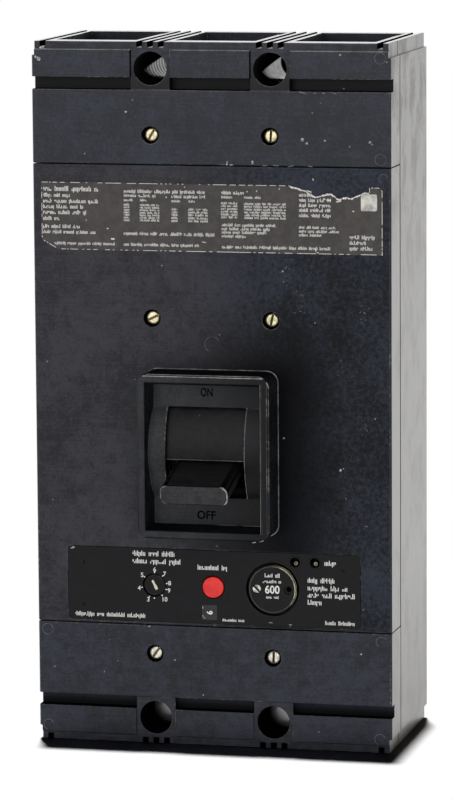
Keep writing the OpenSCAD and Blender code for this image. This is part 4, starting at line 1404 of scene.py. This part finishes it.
# %% Dust and highlight line round the collar
COLLAR_BOX = (-38.6, 38.6, 124.5, 219.3)
COLLAR_CORNER = 6.5
FOOT_LINE_WIDE, FOOT_LINE_THICK = 0.4, 0.1
LEFT_PART, RIGHT_PART = 3, 30
x0, x1, z0, z1 = COLLAR_BOX
foot = flat_card(x0 - FOOT_LINE_WIDE, x1 + FOOT_LINE_WIDE, z0 - FOOT_LINE_WIDE, z1 + FOOT_LINE_WIDE, COVER_FACE)
corner = {"offset": COLLAR_CORNER * MM, "segments": 6, "affect": "VERTICES"}
in_edit(foot, (bpy.ops.mesh.bevel, corner), (bpy.ops.mesh.inset, {"thickness": 2 * FOOT_LINE_WIDE * MM}),
        (bpy.ops.mesh.delete, {"type": "FACE"}))


def without_dust(co):
    left = co.x < (x0 + LEFT_PART) * MM
    return left or co.z < (z0 - 0.5 * FOOT_LINE_WIDE) * MM and co.x < RIGHT_PART * MM


delete_points(foot, without_dust)
thicken(foot, FOOT_LINE_THICK, 0)
hand_over(foot, "collar_foot_dust_and_highlight", "case", collar_dust_and_highlight)
print("dust line, faces:", len(foot.data.polygons))

# %% [markdown]
# Base and covers meet in a fine dark line down both sides. The solids touch
# there, so the line is a set of thin bars, just proud of the sides, that follow
# the narrower ends.

# %% Parting line
PARTING_Y = COVER_FACE / MM + 25.4
SEAM_WIDE, SEAM_THICK = 1.0, 0.1
INSET, INSET_HIGH = 1.5, 8
bars = []
for side in (-1, 1):
    runs = ((CASE_HALF, INSET_HIGH, CASE_TOP - INSET_HIGH), (CASE_HALF - INSET, 0, INSET_HIGH),
            (CASE_HALF - INSET, CASE_TOP - INSET_HIGH, CASE_TOP))
    for x, low, high in runs:
        bars.append(block((side * x, PARTING_Y, (low + high) / 2), (SEAM_THICK, SEAM_WIDE, high - low)))
hand_over(joined(bars), "parting_line", "case", dirt_and_shade)
print("parting line bars:", len(bars))

# %% [markdown]
# Knocks have left small pale chips on the covers and the plate, and rubbing has
# left grey scuffs. A noise mask could paint them, but these sit where the real
# ones do, so each has its place and its half width and height. A spray is a
# place with a number of specks and how far they spread.

# %% Places of the marks
CHIPS = (
    (75.7, 399.8, 0.9, 0.8), (53.5, 351.8, 1.1, 0.9), (56.4, 350.0, 0.7, 0.5), (66.7, 351.4, 0.7, 0.9),
    (92.5, 350.8, 1.2, 1.0), (24.7, 338.5, 0.7, 1.3), (9.9, 337.9, 0.5, 1.6), (12.3, 337.0, 1.4, 0.4),
    (-49.2, 366.5, 0.8, 0.8), (-100.7, 396.1, 1.3, 1.6), (-102.2, 397.2, 0.8, 0.9), (-98.3, 402.7, 1.8, 0.8),
    (-28.8, 278.8, 0.8, 0.3), (59.8, 329.5, 0.6, 0.9), (42.0, 276.9, 0.5, 0.6),
    (86.7, 57.6, 0.7, 0.6), (-23.1, 49.7, 0.5, 0.5), (-38.1, 68.9, 1.3, 0.35), (42.3, 181.2, 0.8, 0.6),
    (60.6, 247.7, 0.4, 0.4), (75.2, 163.8, 0.8, 1.0), (76.8, 164.6, 0.4, 0.4), (95.2, 193.7, 0.6, 0.35),
    (78.4, 147.4, 0.4, 0.3), (-6.4, 29.9, 0.5, 0.6), (-65.4, 41.2, 0.5, 0.5), (24.3, 120.3, 1.8, 0.4),
)
SCUFFS = (
    (32.0, 336.9, 1.8, 0.35), (38.5, 336.9, 2.2, 0.35), (47.0, 336.8, 2.8, 0.3), (58.0, 336.8, 2.0, 0.35),
    (54.0, 378.3, 2.4, 0.35), (61.0, 378.1, 1.4, 0.3), (66.0, 378.3, 1.2, 0.4), (72.0, 378.2, 2.4, 0.3),
    (56.0, 349.4, 1.3, 0.5), (93.8, 349.6, 0.9, 0.5), (90.0, 131.7, 1.4, 0.4), (-62.0, 60.1, 0.5, 0.3),
)
SPRAYS = ((88.1, 254, 12, 3.5), (88.7, 190, 18, 4), (52.0, 262, 18, 6), (44.0, 278, 12, 4), (75.2, 222, 5, 3))
SPRAY_SIZE = (0.15, 0.4)
LABEL_SCUFFS = (
    (-57.6, 293.7, 1.6, 0.6), (-60.6, 299.5, 0.6, 0.5), (-73.3, 304.0, 0.25, 0.8), (-3.8, 292.6, 1.5, 0.3),
    (-25.9, 318.0, 0.6, 0.6), (82.9, 311.7, 0.7, 0.4), (61.3, 289.4, 0.3, 1.3), (62.2, 288.0, 0.7, 0.3),
    (57.4, 322.6, 1.9, 0.35), (74.5, 317.2, 2.2, 0.5), (69.0, 317.9, 1.6, 0.4), (66.2, 318.4, 0.9, 0.5),
    (21.5, 321.9, 0.5, 0.4), (27.0, 322.3, 0.4, 0.5), (40.3, 323.8, 0.5, 0.4), (-15.1, 323.9, 0.4, 0.3),
)
PLATE_CHIPS = (
    (-84.0, 113.4, 1.5, 0.5), (-83.0, 114.0, 1.0, 0.4), (33.9, 73.9, 1.3, 0.3), (45.5, 73.1, 1.1, 0.3),
)
STICKER_CHIPS = ((-6.2, 81.5, 0.25, 1.0), (-6.1, 76.2, 0.3, 1.2), (-5.1, 75.2, 0.8, 0.3))
print("marks on the cover:", len(CHIPS) + len(SCUFFS), "sprays:", len(SPRAYS))

# %% [markdown]
# A real chip has an uneven outline. It could be drawn point by point, but at this
# size a circle of seven points is enough: each is moved in or out at random, and
# the flake is turned a little. The draws have a fixed start, so every run is the
# same.

# %% Chips and scuffs
FLAKE_SIDES, FLAKE_THICK = 7, 0.08
FLAKE_RAGGED, FLAKE_TURN = (0.55, 1.15), 18


def flake(x, z, wide, high, face):
    """One uneven flake, centred at x, z in millimetres on a face."""
    bpy.ops.mesh.primitive_circle_add(vertices=FLAKE_SIDES, radius=1, fill_type="NGON")
    chip = bpy.context.object
    for point in chip.data.vertices:
        point.co *= draw.uniform(*FLAKE_RAGGED)
    chip.scale = (wide * MM, high * MM, 1)
    to_front(chip, x, z, face, draw.uniform(-FLAKE_TURN, FLAKE_TURN))
    thicken(chip, FLAKE_THICK, 0)
    return chip


draw = random.Random(5)
marks = [flake(*scuff, COVER_FACE) for scuff in SCUFFS]
for x, z, count, spread in SPRAYS:
    for _ in range(count):
        size = draw.uniform(*SPRAY_SIZE)
        marks.append(flake(draw.gauss(x, spread / 2), draw.gauss(z, spread), size, size, COVER_FACE))
hand_over(joined(marks), "scuffs", "case", scuff_grey)
paper_flakes = [flake(*scuff, label_front) for scuff in LABEL_SCUFFS]
hand_over(joined(paper_flakes), "label_flakes", "case", paper)
flakes = [flake(*chip, COVER_FACE) for chip in CHIPS]
flakes += [flake(*chip, PLATE_FACE) for chip in PLATE_CHIPS]
flakes += [flake(*chip, sticker_face) for chip in STICKER_CHIPS]
hand_over(joined(flakes), "chips", "case", chip_white)
print("chips:", len(flakes), "scuffs:", len(marks) + len(paper_flakes))

# %% [markdown]
# The studio: a white floor that keeps the shadow, and white all round. The world
# answers camera, glossy and transmission rays with plain white, so the
# background is white and the black gloss has something to mirror. Other rays get
# a plain light from below the horizon only, because the lamps light the rest.
# The floor fades into the white with distance, so no horizon shows.

# %% Floor and world
FLOOR_RADIUS, FLOOR_Z = 3, -0.0003
FADE_NEAR, FADE_FAR = 0.45, 0.9
HORIZON, LOW_LIGHT, HIGH_LIGHT = (-0.02, 0.02), 0.93, 0.0
round_floor = {"vertices": 96, "radius": FLOOR_RADIUS, "fill_type": "NGON"}
bpy.ops.mesh.primitive_circle_add(**round_floor, location=(0, 0, FLOOR_Z))
floor = bpy.context.object
floor.name = "studio_floor"
floor_finish = Finish("studio_floor", {"Roughness": 0.9, "Specular IOR Level": 0.0})
floor_finish.feed(colour=shade(247, 247, 247))
length = {"operation": "LENGTH"}
distance = floor_finish.add("ShaderNodeVectorMath", length, {0: floor_finish.place}, out="Value")
clear = floor_finish.add("ShaderNodeBsdfTransparent")
floor_finish.blend(distance.between(FADE_NEAR, FADE_FAR), clear)
floor.data.materials.append(floor_finish.material)
floor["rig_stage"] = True

world = bpy.data.worlds.new("studio")
bpy.context.scene.world = world
world.use_nodes = True
sky = Nodes(world.node_tree)
rays = [sky.add("ShaderNodeLightPath", out=f"Is {kind} Ray") for kind in ("Camera", "Glossy", "Transmission")]
seen = (rays[0] + rays[1] + rays[2]).between(0, 1)
direction = sky.add("ShaderNodeTexCoord", out="Generated")
height = sky.add("ShaderNodeSeparateXYZ", None, {0: direction}, out="Z")
soft_light = height.between(*HORIZON, LOW_LIGHT, HIGH_LIGHT)
background = world.node_tree.nodes["Background"]
sky.join(seen + (1 - seen) * soft_light, background.inputs["Strength"])
background.inputs["Color"].default_value = (1, 1, 1, 1)
print("world nodes:", len(world.node_tree.nodes))

# %% [markdown]
# A sun almost straight above, a little behind and to the left, throws the tight
# dark shadow under the front edge. Four wide panels round the part fill it with
# plain level light. One more behind is what the upper end mirrors at a flat
# angle, which makes black plastic look pale, so the wide one there isn't mirrored.
# Light linking keeps the panels off the floor, where they would wash the shadow
# away, and the sun off the handle and its collar, which stand in soft light.

# %% Lamps
LAMP_AIM = Vector((0, 0, 0.2))
SUN_STRENGTH, SUN_ANGLE = 3.45, math.radians(1.4)
WIDE, HIGH = 5, 3
unlit = bpy.data.collections.new("not_lit_by_panels")
unlit.objects.link(floor)
unlit.collection_objects[0].light_linking.link_state = "EXCLUDE"


def panel(name, place, wide, high, watts):
    """A level light that points at the part."""
    bpy.ops.object.light_add(type="AREA", location=place)
    lamp = bpy.context.object
    lamp.name = name
    lamp.data.shape = "RECTANGLE"
    lamp.data.size = wide
    lamp.data.size_y = high
    lamp.data.energy = watts
    lamp.rotation_euler = (LAMP_AIM - Vector(place)).to_track_quat("-Z", "Y").to_euler()
    lamp.visible_camera = False
    lamp.light_linking.receiver_collection = unlit
    return lamp


SHADOW_SHIFT = Vector((8, -25, -CASE_TOP))
bpy.ops.object.light_add(type="SUN", location=(0, 0, 3))
sun = bpy.context.object
sun.name = "overhead_sun"
sun.data.energy = SUN_STRENGTH
sun.data.angle = SUN_ANGLE
flush = bpy.data.collections.new("not_lit_by_sun")
for number, node in enumerate(("handle", "handle_collar")):
    flush.objects.link(soft[node])
    flush.collection_objects[number].light_linking.link_state = "EXCLUDE"
sun.light_linking.blocker_collection = flush
sun.light_linking.receiver_collection = flush
sun.rotation_euler = SHADOW_SHIFT.to_track_quat("-Z", "Y").to_euler()
panel("front_panel", (0, -3.5, 1.3), WIDE, HIGH, 58)
panel("left_panel", (-3.5, 0, 1.3), WIDE, HIGH, 40)
panel("right_panel", (3.5, 0, 1.3), WIDE, HIGH, 40)
back_panel = panel("back_panel", (0, 3.5, 1.3), WIDE, HIGH, 40)
back_panel.visible_glossy = False
panel("rear_high_panel", (-0.75, 3, 0.85), 1.2, 0.8, 1.7)

# %% [markdown] The view transform stays Standard, so a colour renders about as
# it is written.

# %% Finish
bpy.context.scene.view_settings.view_transform = "Standard"
bpy.context.scene.cycles.caustics_reflective = False
visual_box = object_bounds()
grown = (visual_box[1] - visual_box[0]) - (cad_box[1] - cad_box[0])
print("grown by, mm:", [round(side / MM, 2) for side in grown])
